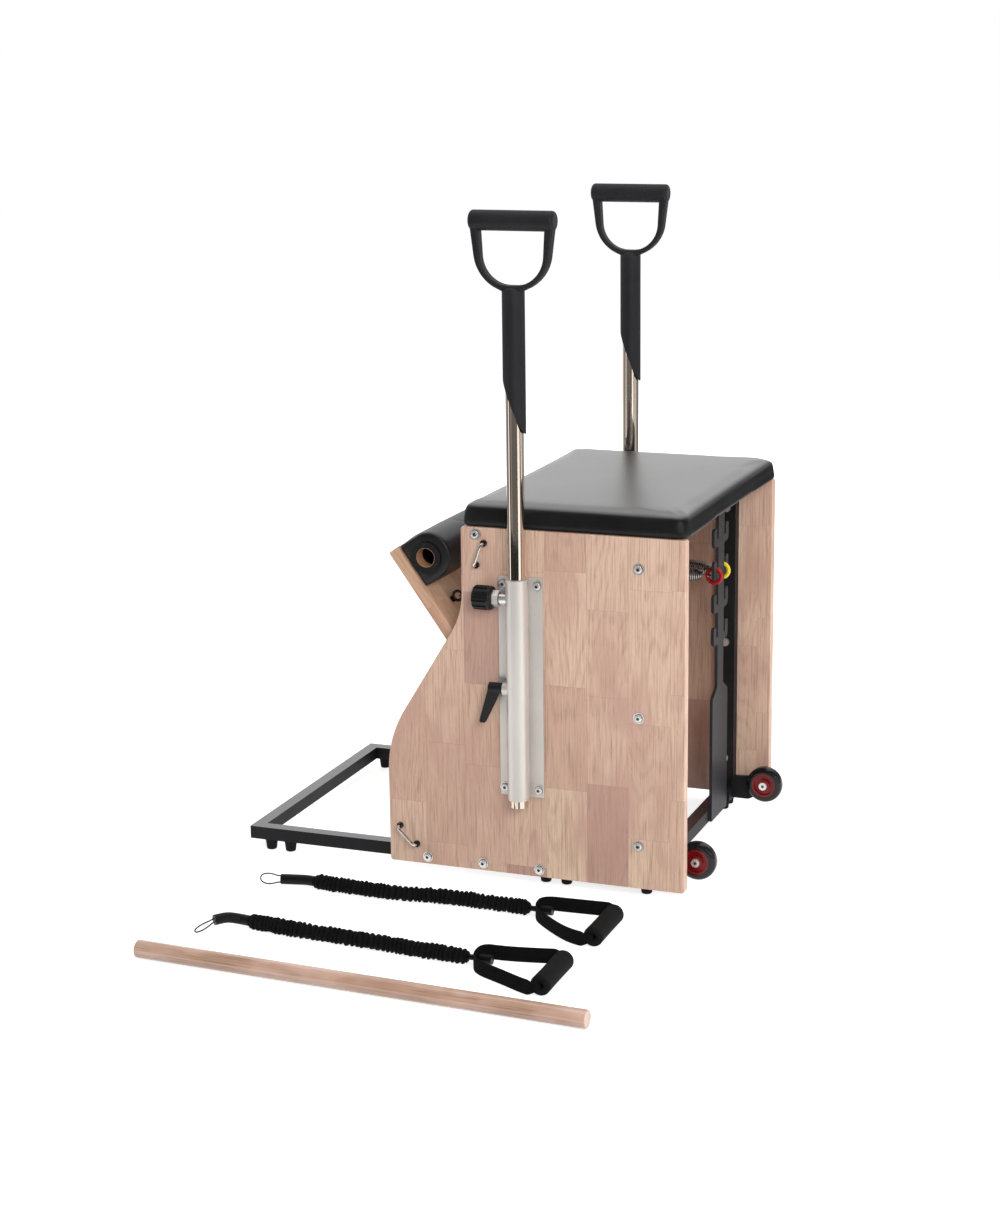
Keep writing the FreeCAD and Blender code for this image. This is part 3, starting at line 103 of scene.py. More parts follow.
class Graph:
    """A node tree with short calls that add nodes and join them."""

    def __init__(self, tree: Tree) -> None:
        """Keeps the tree that the calls add to."""
        self.tree = tree

    def feed(self, socket: Socket, value: object) -> None:
        """Joins an output to an input, or sets the input's own value."""
        if isinstance(value, Socket):
            self.tree.links.new(value, socket)
        elif socket.type == "RGBA" and len(value) == 3:
            socket.default_value = (*value, 1.0)
        else:
            socket.default_value = value

    def fill(self, sockets: Outputs | dict, values: dict) -> None:
        """Feeds several inputs by name or number."""
        for key, value in values.items():
            self.feed(sockets[key], value)

    def node(self, kind: str, inputs: dict | None = None, **settings: object) -> Node:
        """Adds a node.

        Args:
            kind: Blender's name of the node type.
            inputs: values or outputs for its inputs, by name or number.
            settings: the node's own options.

        Returns:
            The new node.
        """
        made = self.tree.nodes.new(kind)
        for name, value in settings.items():
            setattr(made, name, value)
        self.fill(made.inputs, inputs or {})
        return made

    def math(self, operation: str, *values: object) -> Socket:
        """Output of one arithmetic step."""
        return self.node("ShaderNodeMath", dict(enumerate(values)), operation=operation).outputs[0]

    def vector(self, operation: str, *values: object) -> Socket:
        """Output of one vector step."""
        return self.node("ShaderNodeVectorMath", dict(enumerate(values)), operation=operation).outputs[0]

    def times(self, first: object, second: object) -> Socket:
        """Product of two values."""
        return self.math("MULTIPLY", first, second)

    def split(self, vector: object) -> Outputs:
        """The three places of a vector."""
        return self.node("ShaderNodeSeparateXYZ", {0: vector}).outputs

    def join(self, x: object, y: object, z: object = 0.0) -> Socket:
        """A vector of three places."""
        return self.node("ShaderNodeCombineXYZ", {0: x, 1: y, 2: z}).outputs[0]

    def place(self) -> Socket:
        """The piece's own coordinates."""
        return self.node("ShaderNodeTexCoord").outputs["Object"]

    def fit(self, value: object, low: float, high: float, start: float = 0.0, end: float = 1.0) -> Socket:
        """A value between start and end, carried smoothly to low and high."""
        inputs = {"Value": value, "From Min": start, "From Max": end, "To Min": low, "To Max": high}
        return self.node("ShaderNodeMapRange", inputs, interpolation_type="SMOOTHSTEP").outputs[0]

    def blend(self, factor: object, first: object, second: object) -> Socket:
        """Two colours mixed by a factor."""
        return self.node("ShaderNodeMix", {0: factor, 6: first, 7: second}, data_type="RGBA").outputs[2]

    def ramp(self, factor: object, stops: Sequence[tuple[float, Colour]]) -> Socket:
        """Colour from a ramp with the given stops."""
        made = self.node("ShaderNodeValToRGB", {0: factor})
        elements = made.color_ramp.elements
        while len(elements) < len(stops):
            elements.new(0.5)
        for element, (place, colour) in zip(elements, stops):
            element.position = place
            element.color = (*colour, 1.0)
        return made.outputs[0]

    def noise(self, vector: object, scale: object, detail: float = 2.0, rough: float = 0.5) -> Socket:
        """Soft noise over a vector."""
        inputs = {"Vector": vector, "Scale": scale, "Detail": detail, "Roughness": rough}
        return self.node("ShaderNodeTexNoise", inputs).outputs[0]


class Effect(Enum):
    """Shader node groups that more than one finish uses, each built once."""

    STAVES = "stave pattern"
    HIDE = "hide grain"
    SPECKLE = "fine speckle"
    WEAVE = "thread weave"
    STREAKS = "drawn streaks"

    @property
    def tree(self) -> Tree:
        """The group, which is built when it is first asked for."""
        found = bpy.data.node_groups.get(self.value)
        if found:
            return found
        tree = bpy.data.node_groups.new(self.value, "ShaderNodeTree")
        builders = {Effect.STAVES: self._staves, Effect.HIDE: self._hide, Effect.SPECKLE: self._speckle,
                    Effect.WEAVE: self._weave, Effect.STREAKS: self._streaks}
        builders[self](tree)
        return tree

    @staticmethod
    def _open(tree: Tree, inputs: dict[str, float], outputs: Sequence[str]) -> tuple[Graph, dict, dict]:
        """Makes a group's sockets.

        Args:
            tree: the empty group.
            inputs: names of its value inputs with their defaults.
            outputs: names of its value outputs.

        Returns:
            The graph, its inputs by name and its outputs by name.
        """
        new_socket = tree.interface.new_socket
        new_socket(name="Vector", in_out="INPUT", socket_type="NodeSocketVector")
        for name, value in inputs.items():
            new_socket(name=name, in_out="INPUT", socket_type="NodeSocketFloat").default_value = value
        for name in outputs:
            new_socket(name=name, in_out="OUTPUT", socket_type="NodeSocketFloat")
        graph = Graph(tree)
        source = graph.node("NodeGroupInput").outputs
        result = graph.node("NodeGroupOutput").inputs
        return graph, {s.name: s for s in source if s.name}, {s.name: s for s in result if s.name}

    @classmethod
    def _staves(cls, tree: Tree) -> None:
        """Staves along Y in blocks of uneven length: tone by chance, grain, pores and joints."""
        graph, source, result = cls._open(tree, {"Width": 0.07, "Length": 0.3, "Spread": 1.0, "Draw": 1.0},
                                          ("Tone", "Grain", "Pores", "Joint"))
        row_shift, block_shift, joint_width, ring_count, ring_share = 53.0, (31.0, 17.0), 0.001, 110.0, 0.07
        parts = graph.split(source["Vector"])
        across = graph.math("DIVIDE", parts[0], source["Width"])
        row = graph.math("FLOOR", across)
        shift = graph.node("ShaderNodeTexWhiteNoise", {"W": row}, noise_dimensions="1D").outputs["Value"]
        along = graph.math("DIVIDE", parts[1], source["Length"])
        along = graph.math("ADD", along, graph.times(shift, row_shift))
        blocks = {"W": along, "Scale": 1.0, "Randomness": 0.9}
        cells = [graph.node("ShaderNodeTexVoronoi", blocks, voronoi_dimensions="1D", feature=feature).outputs
                 for feature in ("F1", "DISTANCE_TO_EDGE")]
        block, end = cells[0]["W"], cells[1]["Distance"]
        own = graph.join(row, block)
        tone = graph.node("ShaderNodeTexWhiteNoise", {"Vector": own}, noise_dimensions="2D").outputs["Value"]
        rest = graph.math("FRACT", across)
        side = graph.times(graph.math("MINIMUM", rest, graph.math("SUBTRACT", 1.0, rest)), source["Width"])
        edge = graph.math("MINIMUM", side, graph.times(end, source["Length"]))
        offset = graph.join(graph.times(tone, block_shift[0]), graph.times(tone, block_shift[1]), row)
        ratio = graph.join(source["Spread"], source["Draw"], source["Spread"])
        lengthened = graph.vector("MULTIPLY", source["Vector"], ratio)

        def drawn(stretch: Colour, detail: float, rough: float) -> Socket:
            """Noise drawn out along the grain, with a place of its own in each block."""
            spread = graph.vector("ADD", graph.vector("MULTIPLY", lengthened, stretch), offset)
            return graph.noise(spread, 1.0, detail, rough)

        rings = graph.math("SINE", graph.times(drawn((15.0, 2.1, 15.0), 1.0, 0.4), ring_count))
        rings = graph.fit(rings, 0.0, 1.0, -1.0, 0.0)
        fibres = graph.times(drawn((430.0, 10.0, 430.0), 3.0, 0.75), 1.0 - ring_share)
        graph.fill(result, {
            "Tone": tone, "Grain": graph.math("ADD", fibres, graph.times(rings, ring_share)),
            "Pores": graph.fit(drawn((800.0, 60.0, 800.0), 1.0, 0.5), 1.0, 0.0, 0.30, 0.38),
            "Joint": graph.fit(edge, 1.0, 0.0, 0.0, joint_width)})

    @classmethod
    def _hide(cls, tree: Tree) -> None:
        """Leather-like cells with fine wrinkles, and slow changes of tint."""
        graph, source, result = cls._open(tree, {"Scale": 700.0}, ("Height", "Tint"))
        cells = graph.node("ShaderNodeTexVoronoi", {"Vector": source["Vector"], "Scale": source["Scale"]},
                           feature="SMOOTH_F1").outputs["Distance"]
        fine = graph.noise(source["Vector"], graph.times(source["Scale"], 2.3), 3.0, 0.6)
        height = graph.math("ADD", graph.times(cells, 0.8), graph.times(fine, 0.35))
        graph.fill(result, {"Height": height, "Tint": graph.noise(source["Vector"], 9.0, 3.0, 0.55)})

    @classmethod
    def _speckle(cls, tree: Tree) -> None:
        """Fine pebbled relief of coats and moulded rubber, and slow changes of tint."""
        graph, source, result = cls._open(tree, {"Scale": 1200.0}, ("Height", "Tint"))
        graph.fill(result, {"Height": graph.noise(source["Vector"], source["Scale"], 2.0, 0.55),
                            "Tint": graph.noise(source["Vector"], 14.0, 3.0, 0.6)})

    @classmethod
    def _streaks(cls, tree: Tree) -> None:
        """Long streaks along Z, as drawing or brushing leaves them."""
        graph, source, result = cls._open(tree, {"Scale": 900.0}, ("Height", "Tint"))
        thin = graph.vector("MULTIPLY", source["Vector"], (1.0, 1.0, 0.012))
        graph.fill(result, {"Height": graph.noise(thin, source["Scale"], 3.0, 0.6),
                            "Tint": graph.noise(source["Vector"], 11.0, 2.0, 0.5)})

    @classmethod
    def _weave(cls, tree: Tree) -> None:
        """Threads over and under each other, counted in a surface's own metres."""
        graph, source, result = cls._open(tree, {"Threads": 1400.0}, ("Height", "Tint"))
        parts = graph.split(source["Vector"])
        threads = [graph.times(part, source["Threads"]) for part in (parts[0], parts[1])]
        total = graph.math("ADD", *(graph.math("FLOOR", thread) for thread in threads))
        over = graph.math("FLOORED_MODULO", total, 2.0)
        turns = [graph.times(graph.math("FRACT", thread), math.pi) for thread in threads]
        warp, weft = (graph.math("SINE", turn) for turn in turns)
        under = graph.math("SUBTRACT", 1.0, over)
        graph.fill(result, {"Height": graph.math("ADD", graph.times(warp, over), graph.times(weft, under)),
                            "Tint": graph.noise(source["Vector"], 60.0, 3.0, 0.6)})


def shaded(colour: Colour, share: float | Colour) -> Colour:
    """A colour times one share, or times a share for each channel."""
    return tuple(np.multiply(colour, share).tolist())


def fresh_material(name: str) -> tuple[Material, Graph]:
    """A new material with an empty node tree, and the graph that fills it."""
    made = bpy.data.materials.new(name)
    made.use_nodes = True
    made.node_tree.nodes.clear()
    return made, Graph(made.node_tree)


@dataclass(frozen=True)
class Finish:
    """What all finishes share: a name and the plain settings of the shader's own sockets."""

    name: str
    metallic: float = 0.0
    specular: float = 0.5
    coat: float = 0.0
    coat_rough: float = 0.2
    coat_ior: float = 1.5

    def material(self) -> Material:
        """The finish as a material, which is built when it is first asked for."""
        found = bpy.data.materials.get(self.name)
        if found:
            return found
        made, graph = fresh_material(self.name)
        shader = graph.node("ShaderNodeBsdfPrincipled", {
            "Metallic": self.metallic, "Specular IOR Level": self.specular, "Coat Weight": self.coat,
            "Coat Roughness": self.coat_rough, "Coat IOR": self.coat_ior})
        self.dress(graph, shader)
        graph.node("ShaderNodeOutputMaterial", {"Surface": shader.outputs[0]})
        return made

    def dress(self, graph: Graph, shader: Node) -> None:
        """Adds the finish's own pattern to the shader."""
        raise NotImplementedError

    @staticmethod
    def effect(graph: Graph, effect: Effect, vector: object, **values: float) -> Outputs:
        """Places a shared group.

        Args:
            graph: the material's graph.
            effect: which group.
            vector: the coordinates that it reads.
            values: its own settings.

        Returns:
            The group's outputs.
        """
        return graph.node("ShaderNodeGroup", {"Vector": vector, **values}, node_tree=effect.tree).outputs

    @staticmethod
    def relief(graph: Graph, shader: Node, height: object, strength: float, depth: float) -> None:
        """Joins a height to the shader's normal."""
        bump = graph.node("ShaderNodeBump", {"Strength": strength, "Distance": depth, "Height": height})
        graph.feed(shader.inputs["Normal"], bump.outputs[0])


@dataclass(frozen=True)
class Wood(Finish):
    """Satin lacquered board of finger-jointed staves."""

    specular: float = 0.4
    pale: Colour = (0.75, 0.530, 0.405)
    mid: Colour = (0.65, 0.430, 0.325)
    gold: Colour = (0.79, 0.580, 0.425)
    deep: Colour = (0.54, 0.345, 0.278)
    grain: Grain = Grain.UPRIGHT
    width: float = 0.070
    length: float = 0.17
    streak: float = 0.60
    pores: float = 0.22
    joint: float = 0.22
    spread: float = 1.0
    draw: float = 1.0
    roughness: float = 0.42

    def dress(self, graph: Graph, shader: Node) -> None:
        """Tones by block, darker grain and pores, thin joints, and roughness that follows the grain."""
        own = {"Vector": graph.place(), "Rotation": self.grain.value}
        turned = graph.node("ShaderNodeMapping", own).outputs[0]
        staves = self.effect(graph, Effect.STAVES, turned, Width=self.width, Length=self.length,
                             Spread=self.spread, Draw=self.draw)
        base = graph.ramp(staves["Tone"], (
            (0.0, self.deep), (0.12, self.deep), (0.16, self.mid), (0.42, self.pale), (0.60, self.mid),
            (0.82, self.gold), (1.0, self.pale)))
        shade = shaded(self.deep, (0.58, 0.48, 0.42))
        base = graph.blend(graph.fit(staves["Grain"], self.streak, 0.0, 0.30, 0.60), base, shade)
        cloud = graph.vector("MULTIPLY", turned, (1.0, 0.4, 1.0))
        blush = graph.fit(graph.noise(cloud, 17.0, 3.0, 0.6), 0.0, 0.75, 0.38, 0.72)
        base = graph.blend(blush, base, shaded(self.mid, (0.86, 0.79, 0.83)))
        for mask, share in (("Pores", self.pores), ("Joint", self.joint)):
            base = graph.blend(graph.times(staves[mask], share), base, shade)
        rough = graph.fit(staves["Grain"], self.roughness + 0.1, self.roughness - 0.04, 0.3, 0.65)
        graph.fill(shader.inputs, {"Base Color": base, "Roughness": rough})
        height = graph.math("SUBTRACT", staves["Grain"], graph.times(staves["Pores"], 0.5))
        self.relief(graph, shader, height, 0.14, 0.0004)


@dataclass(frozen=True)
class Moulded(Finish):
    """One colour in a fine relief, whose tint and gloss drift slowly over the surface."""

    colour: Colour = (0.02, 0.02, 0.022)
    scale: float = 1500.0
    depth: float = 0.0002
    strength: float = 0.25
    roughness: float = 0.5

    def mould(self, graph: Graph, shader: Node, effect: Effect, dark: float, light: float) -> None:
        """Puts a pattern on the shader.

        Args:
            graph: the material's graph.
            shader: its shader.
            effect: the pattern, with a height and a tint.
            dark: least share of the colour.
            light: greatest share of the colour.
        """
        pattern = self.effect(graph, effect, graph.place(), Scale=self.scale)
        tone = graph.fit(pattern["Tint"], 0.0, 1.0, 0.3, 0.7)
        base = graph.blend(tone, shaded(self.colour, dark), shaded(self.colour, light))
        rough = graph.fit(pattern["Tint"], self.roughness - 0.05, self.roughness + 0.06)
        graph.fill(shader.inputs, {"Base Color": base, "Roughness": rough})
        self.relief(graph, shader, pattern["Height"], self.strength, self.depth)


@dataclass(frozen=True)
class Leatherette(Moulded):
    """Black upholstery with a fine hide grain, whose coat may show only above a height, polished by use."""

    scale: float = 620.0
    depth: float = 0.0004
    strength: float = 0.22
    polish: tuple[float, float] | None = None

    def dress(self, graph: Graph, shader: Node) -> None:
        """Hide grain, and the polish where there is one."""
        self.mould(graph, shader, Effect.HIDE, 0.8, 1.3)
        if self.polish:
            height = graph.split(graph.place())[2]
            graph.feed(shader.inputs["Coat Weight"], graph.fit(height, 0.04, self.coat, *self.polish))


@dataclass(frozen=True)
class Pebbled(Moulded):
    """Powder coat, moulded rubber or plastic: one colour with a fine pebbled relief.

    The coat may show only on faces that look up, which are wiped and rubbed most.
    """

    rubbed: bool = False

    def dress(self, graph: Graph, shader: Node) -> None:
        """Pebbled relief, and the rubbed coat where there is one."""
        self.mould(graph, shader, Effect.SPECKLE, 0.85, 1.16)
        if self.rubbed:
            rise = graph.split(graph.node("ShaderNodeNewGeometry").outputs["True Normal"])[2]
            graph.feed(shader.inputs["Coat Weight"], graph.fit(rise, 0.0, self.coat, 0.6, 0.95))


@dataclass(frozen=True)
class Metal(Finish):
    """Chrome, steel or anodised aluminium with faint drawn streaks."""

    metallic: float = 1.0
    colour: Colour = (0.72, 0.69, 0.65)
    scale: float = 900.0
    strength: float = 0.04
    roughness: float = 0.12
    recess_shade_reach: float = 0.0

    def dress(self, graph: Graph, shader: Node) -> None:
        """Drawn streaks in gloss and relief, a faint tint change, and painted shade in corners and recesses.
        """
        drawn = self.effect(graph, Effect.STREAKS, graph.place(), Scale=self.scale)
        tone = graph.fit(drawn["Tint"], 0.0, 1.0, 0.3, 0.7)
        base = graph.blend(tone, shaded(self.colour, 0.93), self.colour)
        # Painted shade: the colour runs towards near black where ambient occlusion finds surfaces close by,
        # in corners and recesses
        if self.recess_shade_reach:
            open_share = graph.node("ShaderNodeAmbientOcclusion", {"Distance": self.recess_shade_reach}).outputs["AO"]
            base = graph.blend(graph.fit(open_share, 0.0, 1.0, 0.45, 0.9), shaded(self.colour, 0.06), base)
        rough = graph.fit(drawn["Height"], self.roughness * 0.8, self.roughness * 1.25)
        graph.fill(shader.inputs, {"Base Color": base, "Roughness": rough})
        self.relief(graph, shader, drawn["Height"], self.strength, 0.0001)


@dataclass(frozen=True)
class Cloth(Finish):
    """Woven black fabric, read from the piece's own map."""

    colour: Colour = (0.012, 0.012, 0.0125)
    threads: float = 1200.0
    roughness: float = 0.85
    strength: float = 0.5

    def dress(self, graph: Graph, shader: Node) -> None:
        """Weave in relief, painted shade in its hollows and highlight on its crowns, and faint changes along
        it.
        """
        place = graph.node("ShaderNodeTexCoord").outputs["UV"]
        weave = self.effect(graph, Effect.WEAVE, place, Threads=self.threads)
        dark = shaded(self.colour, 0.55)
        # Painted shade and painted highlight: darker in the threads' hollows, lighter on their crowns
        painted_thread_shading = graph.blend(graph.fit(weave["Height"], 0.0, 1.0), dark, shaded(self.colour, 1.35))
        base = graph.blend(graph.fit(weave["Tint"], 0.0, 0.4, 0.35, 0.7), painted_thread_shading, dark)
        rough = graph.fit(weave["Tint"], self.roughness - 0.07, self.roughness + 0.07)
        graph.fill(shader.inputs, {"Base Color": base, "Roughness": rough})
        self.relief(graph, shader, weave["Height"], self.strength, 0.0003)


@dataclass(frozen=True)
class Bushing(Pebbled):
    """Black plastic bush whose bore shows the wooden core behind it."""

    bore: float = 0.0162
    wood: Colour = (0.55, 0.30, 0.17)

    def dress(self, graph: Graph, shader: Node) -> None:
        """Plain pebbled plastic, with the bore's wall in wood by its distance from the bore's axis."""
        super().dress(graph, shader)
        place = graph.place()
        axis = raised(BORE_AXIS) * MM
        away = graph.vector("SUBTRACT", place, (0.0, axis[1], axis[2]))
        flat = graph.vector("MULTIPLY", away, (0.0, 1.0, 1.0))
        reach = graph.node("ShaderNodeVectorMath", {0: flat}, operation="LENGTH").outputs["Value"]
        inside = graph.fit(reach, 1.0, 0.0, self.bore - 0.0004, self.bore)
        plain = shader.inputs["Base Color"].links[0].from_socket
        core = graph.blend(graph.noise(place, 240.0, 3.0), self.wood, shaded(self.wood, 0.6))
        graph.feed(shader.inputs["Base Color"], graph.blend(inside, plain, core))


@dataclass(frozen=True)
class Collared(Metal):
    """Bright bent rod with black collars where its legs enter the panel."""

    collar: float = 0.2788

    def dress(self, graph: Graph, shader: Node) -> None:
        """Drawn metal, black and matt nearer to the panel than the collar's rim."""
        super().dress(graph, shader)
        out = graph.math("ABSOLUTE", graph.split(graph.place())[0])
        bare = graph.fit(out, 0.0, 1.0, self.collar, self.collar + 0.0004)
        plain = shader.inputs["Base Color"].links[0].from_socket
        base = graph.blend(bare, (0.008, 0.008, 0.008), plain)
        graph.fill(shader.inputs, {"Base Color": base, "Metallic": bare})


@dataclass(frozen=True)
class CardTone:
    """Finish of a studio card: one even grey, whatever the light."""

    tone: float

    def material(self) -> Material:
        """The grey as a material that gives off its own tone."""
        made, graph = fresh_material(f"card tone {self.tone:.2f}")
        glow = graph.node("ShaderNodeEmission", {"Color": (self.tone,) * 3, "Strength": 1.0})
        graph.node("ShaderNodeOutputMaterial", {"Surface": glow.outputs[0]})
        return made


class Finishes:
    """All finishes of the chair, named for the pieces that wear them."""

    PANEL = Wood("panel board")
    # The pedal board's wood is a darker, more saturated copy of the panel board's, as painted shade on the
    # pedals
    PEDAL = Wood("pedal board", grain=Grain.PEDAL, pale=(0.66, 0.430, 0.300), gold=(0.64, 0.410, 0.275),
                 mid=(0.60, 0.370, 0.245), deep=(0.48, 0.270, 0.180))
    BAR = Wood("seat bar wood", grain=Grain.ACROSS)
    SEAT_BOARD = Wood("seat board ply", grain=Grain.ACROSS, width=0.3, length=2.0, pale=(0.45, 0.33, 0.24),
                      gold=(0.44, 0.31, 0.22), mid=(0.42, 0.30, 0.22), deep=(0.36, 0.25, 0.18), roughness=0.7)
    DOWEL = Wood("dowel wood", grain=Grain.DOWEL, width=0.4, length=3.0, pale=(0.86, 0.635, 0.490),
                 gold=(0.84, 0.610, 0.465), mid=(0.82, 0.590, 0.450), deep=(0.46, 0.280, 0.190), streak=0.9,
                 pores=0.5, joint=0.0, spread=0.7, draw=0.2, roughness=0.32, coat=1.0, coat_rough=0.12)
    SEAT = Leatherette("seat leatherette", colour=(0.008, 0.008, 0.0086), roughness=0.42, specular=0.14,
                       coat=1.0, coat_rough=0.32, coat_ior=2.35, polish=(0.628, 0.634))
    PAD = Leatherette("pad leatherette", colour=(0.009, 0.009, 0.0100), roughness=0.36, specular=0.34)
    FRAME = Pebbled("frame powder coat", colour=(0.010, 0.010, 0.0115), roughness=0.50, strength=0.12,
                    specular=0.18, coat=1.0, coat_rough=0.24, coat_ior=1.9, rubbed=True)
    RACK = Pebbled("rack powder coat", colour=(0.026, 0.027, 0.031), roughness=0.48, strength=0.12,
                   specular=0.2)
    FEET = Pebbled("foot rubber", colour=(0.008, 0.008, 0.009), roughness=0.7, scale=700.0, specular=0.15)
    GRIP = Pebbled("grip rubber", colour=(0.014, 0.014, 0.017), roughness=0.55, scale=620.0, depth=0.0005,
                   strength=0.5, specular=0.25)
    PLASTIC = Pebbled("black plastic", colour=(0.007, 0.007, 0.008), roughness=0.38, strength=0.1,
                      specular=0.3)
    BUSH = Bushing("bush plastic", colour=(0.006, 0.006, 0.007), roughness=0.42, strength=0.1, specular=0.25)
    TYRE = Pebbled("tyre rubber", colour=(0.008, 0.008, 0.009), roughness=0.22, strength=0.05, coat=0.25,
                   coat_rough=0.08, specular=0.25)
    HUB = Pebbled("hub red", colour=(0.22, 0.004, 0.007), roughness=0.28, strength=0.08, coat=0.3,
                  coat_rough=0.1, specular=0.25)
    RING_RED = Pebbled("ring red", colour=(0.40, 0.008, 0.010), roughness=0.3, strength=0.06, specular=0.3)
    RING_YELLOW = Pebbled("ring yellow", colour=(0.72, 0.53, 0.03), roughness=0.3, strength=0.06,
                          specular=0.3)
    CHROME = Metal("mast chrome", colour=(0.76, 0.650, 0.550), roughness=0.06)
    # The screws' steel carries painted shade in its corners and recesses
    STEEL = Metal("screw steel", colour=(0.80, 0.79, 0.77), roughness=0.27, strength=0.06, metallic=0.8,
                  recess_shade_reach=0.004)
    SPRING = Metal("spring steel", colour=(0.46, 0.46, 0.46), roughness=0.13, strength=0.06)
    SLEEVE = Metal("sleeve aluminium", colour=(0.70, 0.665, 0.625), roughness=0.38, strength=0.1,
                   metallic=0.6)
    TAIL = Pebbled("band end rubber", colour=(0.006, 0.006, 0.0065), roughness=0.34, strength=0.08,
                   specular=0.14)
    BAND = Cloth("band fabric", colour=(0.0055, 0.0055, 0.0058), threads=900.0, roughness=0.6, specular=0.06)
    STRAP = Cloth("strap webbing", colour=(0.006, 0.006, 0.0065), threads=700.0, strength=0.8, specular=0.05)
    FOAM = Pebbled("grip foam", colour=(0.010, 0.010, 0.011), roughness=0.8, scale=900.0, depth=0.0006,
                   strength=0.6, specular=0.1)
    HOOK = Metal("hook steel", colour=(0.07, 0.065, 0.06), roughness=0.25)
    EYE = Collared("band eye")


# Beginnings of the CAD pieces' names, by the finish that they wear
WEARERS: tuple[tuple[Finish, str], ...] = (
    (Finishes.PANEL, "side_panel"), (Finishes.BAR, "front_seat_bar"), (Finishes.SEAT_BOARD, "seat_board"),
    (Finishes.FRAME, "rear_frame base_rails base_front_bar base_cross_bars hinge_brackets wheel_brackets"),
    (Finishes.FEET, "base_feet"), (Finishes.PLASTIC, "rail_plugs index_knob clamp_lever"),
    (Finishes.STEEL, "socket_screws hinge_rod index_housings wheel_axles"), (Finishes.EYE, "band_eyes"),
    (Finishes.RACK, "spring_rack"), (Finishes.RING_RED, "rings_red"), (Finishes.RING_YELLOW, "rings_yellow"),
    (Finishes.SLEEVE, "mast_sleeve"), (Finishes.PEDAL, "pedal_board"), (Finishes.BUSH, "pedal_bushes"),
    (Finishes.HOOK, "pedal_fittings band_hook"), (Finishes.CHROME, "mast_tube"), (Finishes.GRIP, "mast_grip"),
    (Finishes.TYRE, "wheel_tyre"), (Finishes.HUB, "wheel_hub"), (Finishes.DOWEL, "pedal_dowel"),
    (Finishes.TAIL, "band_ends"),
)


def linked(name: str, data: bpy.types.ID) -> Piece:
    """A new object that shows the data, in the scene."""
    made = bpy.data.objects.new(name, data)
    bpy.context.scene.collection.objects.link(made)
    return made


def surface(name: str, points: Array, finish: Finish | CardTone, wrap: tuple[bool, bool] = (False, False),
            uv: Array | None = None) -> Piece:
    """Makes an object of a grid of points.

    The quads join each point to the next in its row and its column. A closed direction repeats its first row
    or column, and points that fall together, at seams and poles, are merged, so the map keeps its own seam.

    Args:
        name: the piece's name.
        points: array of rows, columns and three places, in millimetres.
        finish: what the piece wears.
        wrap: whether rows and columns close on themselves.
        uv: array of rows, columns and two map places, if the finish reads a map.

    Returns:
        The new object.
    """
    for axis in (0, 1):
        if wrap[axis]:
            points = np.concatenate([points, np.take(points, [0], axis)], axis)
    merged, sliver = 1e-6, 1e-7
    rows, columns = points.shape[:2]
    first = (np.arange(rows - 1)[:, None] * columns + np.arange(columns - 1)[None, :]).reshape(-1)
    quads = np.stack([first, first + 1, first + columns + 1, first + columns], -1)
    mesh = bpy.data.meshes.new(name)
    mesh.from_pydata((points.reshape(-1, 3) * MM).tolist(), [], quads.tolist())
    if uv is not None:
        corners = np.empty(len(mesh.loops), np.int32)
        mesh.loops.foreach_get("vertex_index", corners)
        spread = uv.reshape(-1, 2)[corners].astype(np.float32)
        mesh.uv_layers.new(name="map").data.foreach_set("uv", spread.ravel())
    made = bmesh.new()
    made.from_mesh(mesh)
    bmesh.ops.remove_doubles(made, verts=made.verts, dist=merged)
    bmesh.ops.dissolve_degenerate(made, edges=made.edges, dist=sliver)
    bmesh.ops.recalc_face_normals(made, faces=made.faces)
    made.to_mesh(mesh)
    made.free()
    mesh.polygons.foreach_set("use_smooth", np.ones(len(mesh.polygons), bool))
    mesh.materials.append(finish.material())
    return linked(name, mesh)


def sweep(path: Array, reference: Array, profile: Array) -> Array:
    """Carries a closed profile along a path.

    Each profile point is path + first * side + second * rise, where side is the reference made square to the
    path's direction, and rise is the direction's cross product with side. The path's ends close in a point.

    Args:
        path: points of the path.
        reference: one direction, or one for each path point, that the profile's first axis leans to.
        profile: points of the profile, two places each.

    Returns:
        Array of path rows, profile columns and three places.
    """
    way = np.gradient(path, axis=0)
    way /= np.linalg.norm(way, axis=1, keepdims=True)
    side = np.broadcast_to(reference, path.shape).astype(float)
    side = side - way * np.sum(side * way, 1, keepdims=True)
    side /= np.linalg.norm(side, axis=1, keepdims=True)
    rise = np.cross(way, side)
    offsets = profile[None, :, :, None] * np.stack([side, rise], 1)[:, None, :, :]
    body = path[:, None, :] + offsets.sum(2)
    start = np.broadcast_to(path[:1, None, :], body[:1].shape)
    end = np.broadcast_to(path[-1:, None, :], body[-1:].shape)
    return np.concatenate([start, body, end])


def circle(radius: float, count: int) -> Array:
    """Points of a circle, two places each."""
    turn = np.linspace(0, 2 * np.pi, count, endpoint=False)
    return radius * np.stack([np.cos(turn), np.sin(turn)], -1)


def smoothstep(value: Array) -> Array:
    """Eases from nought to one: three times the square less twice the cube, and level outside."""
    held = np.clip(value, 0, 1)
    return held * held * (3 - 2 * held)


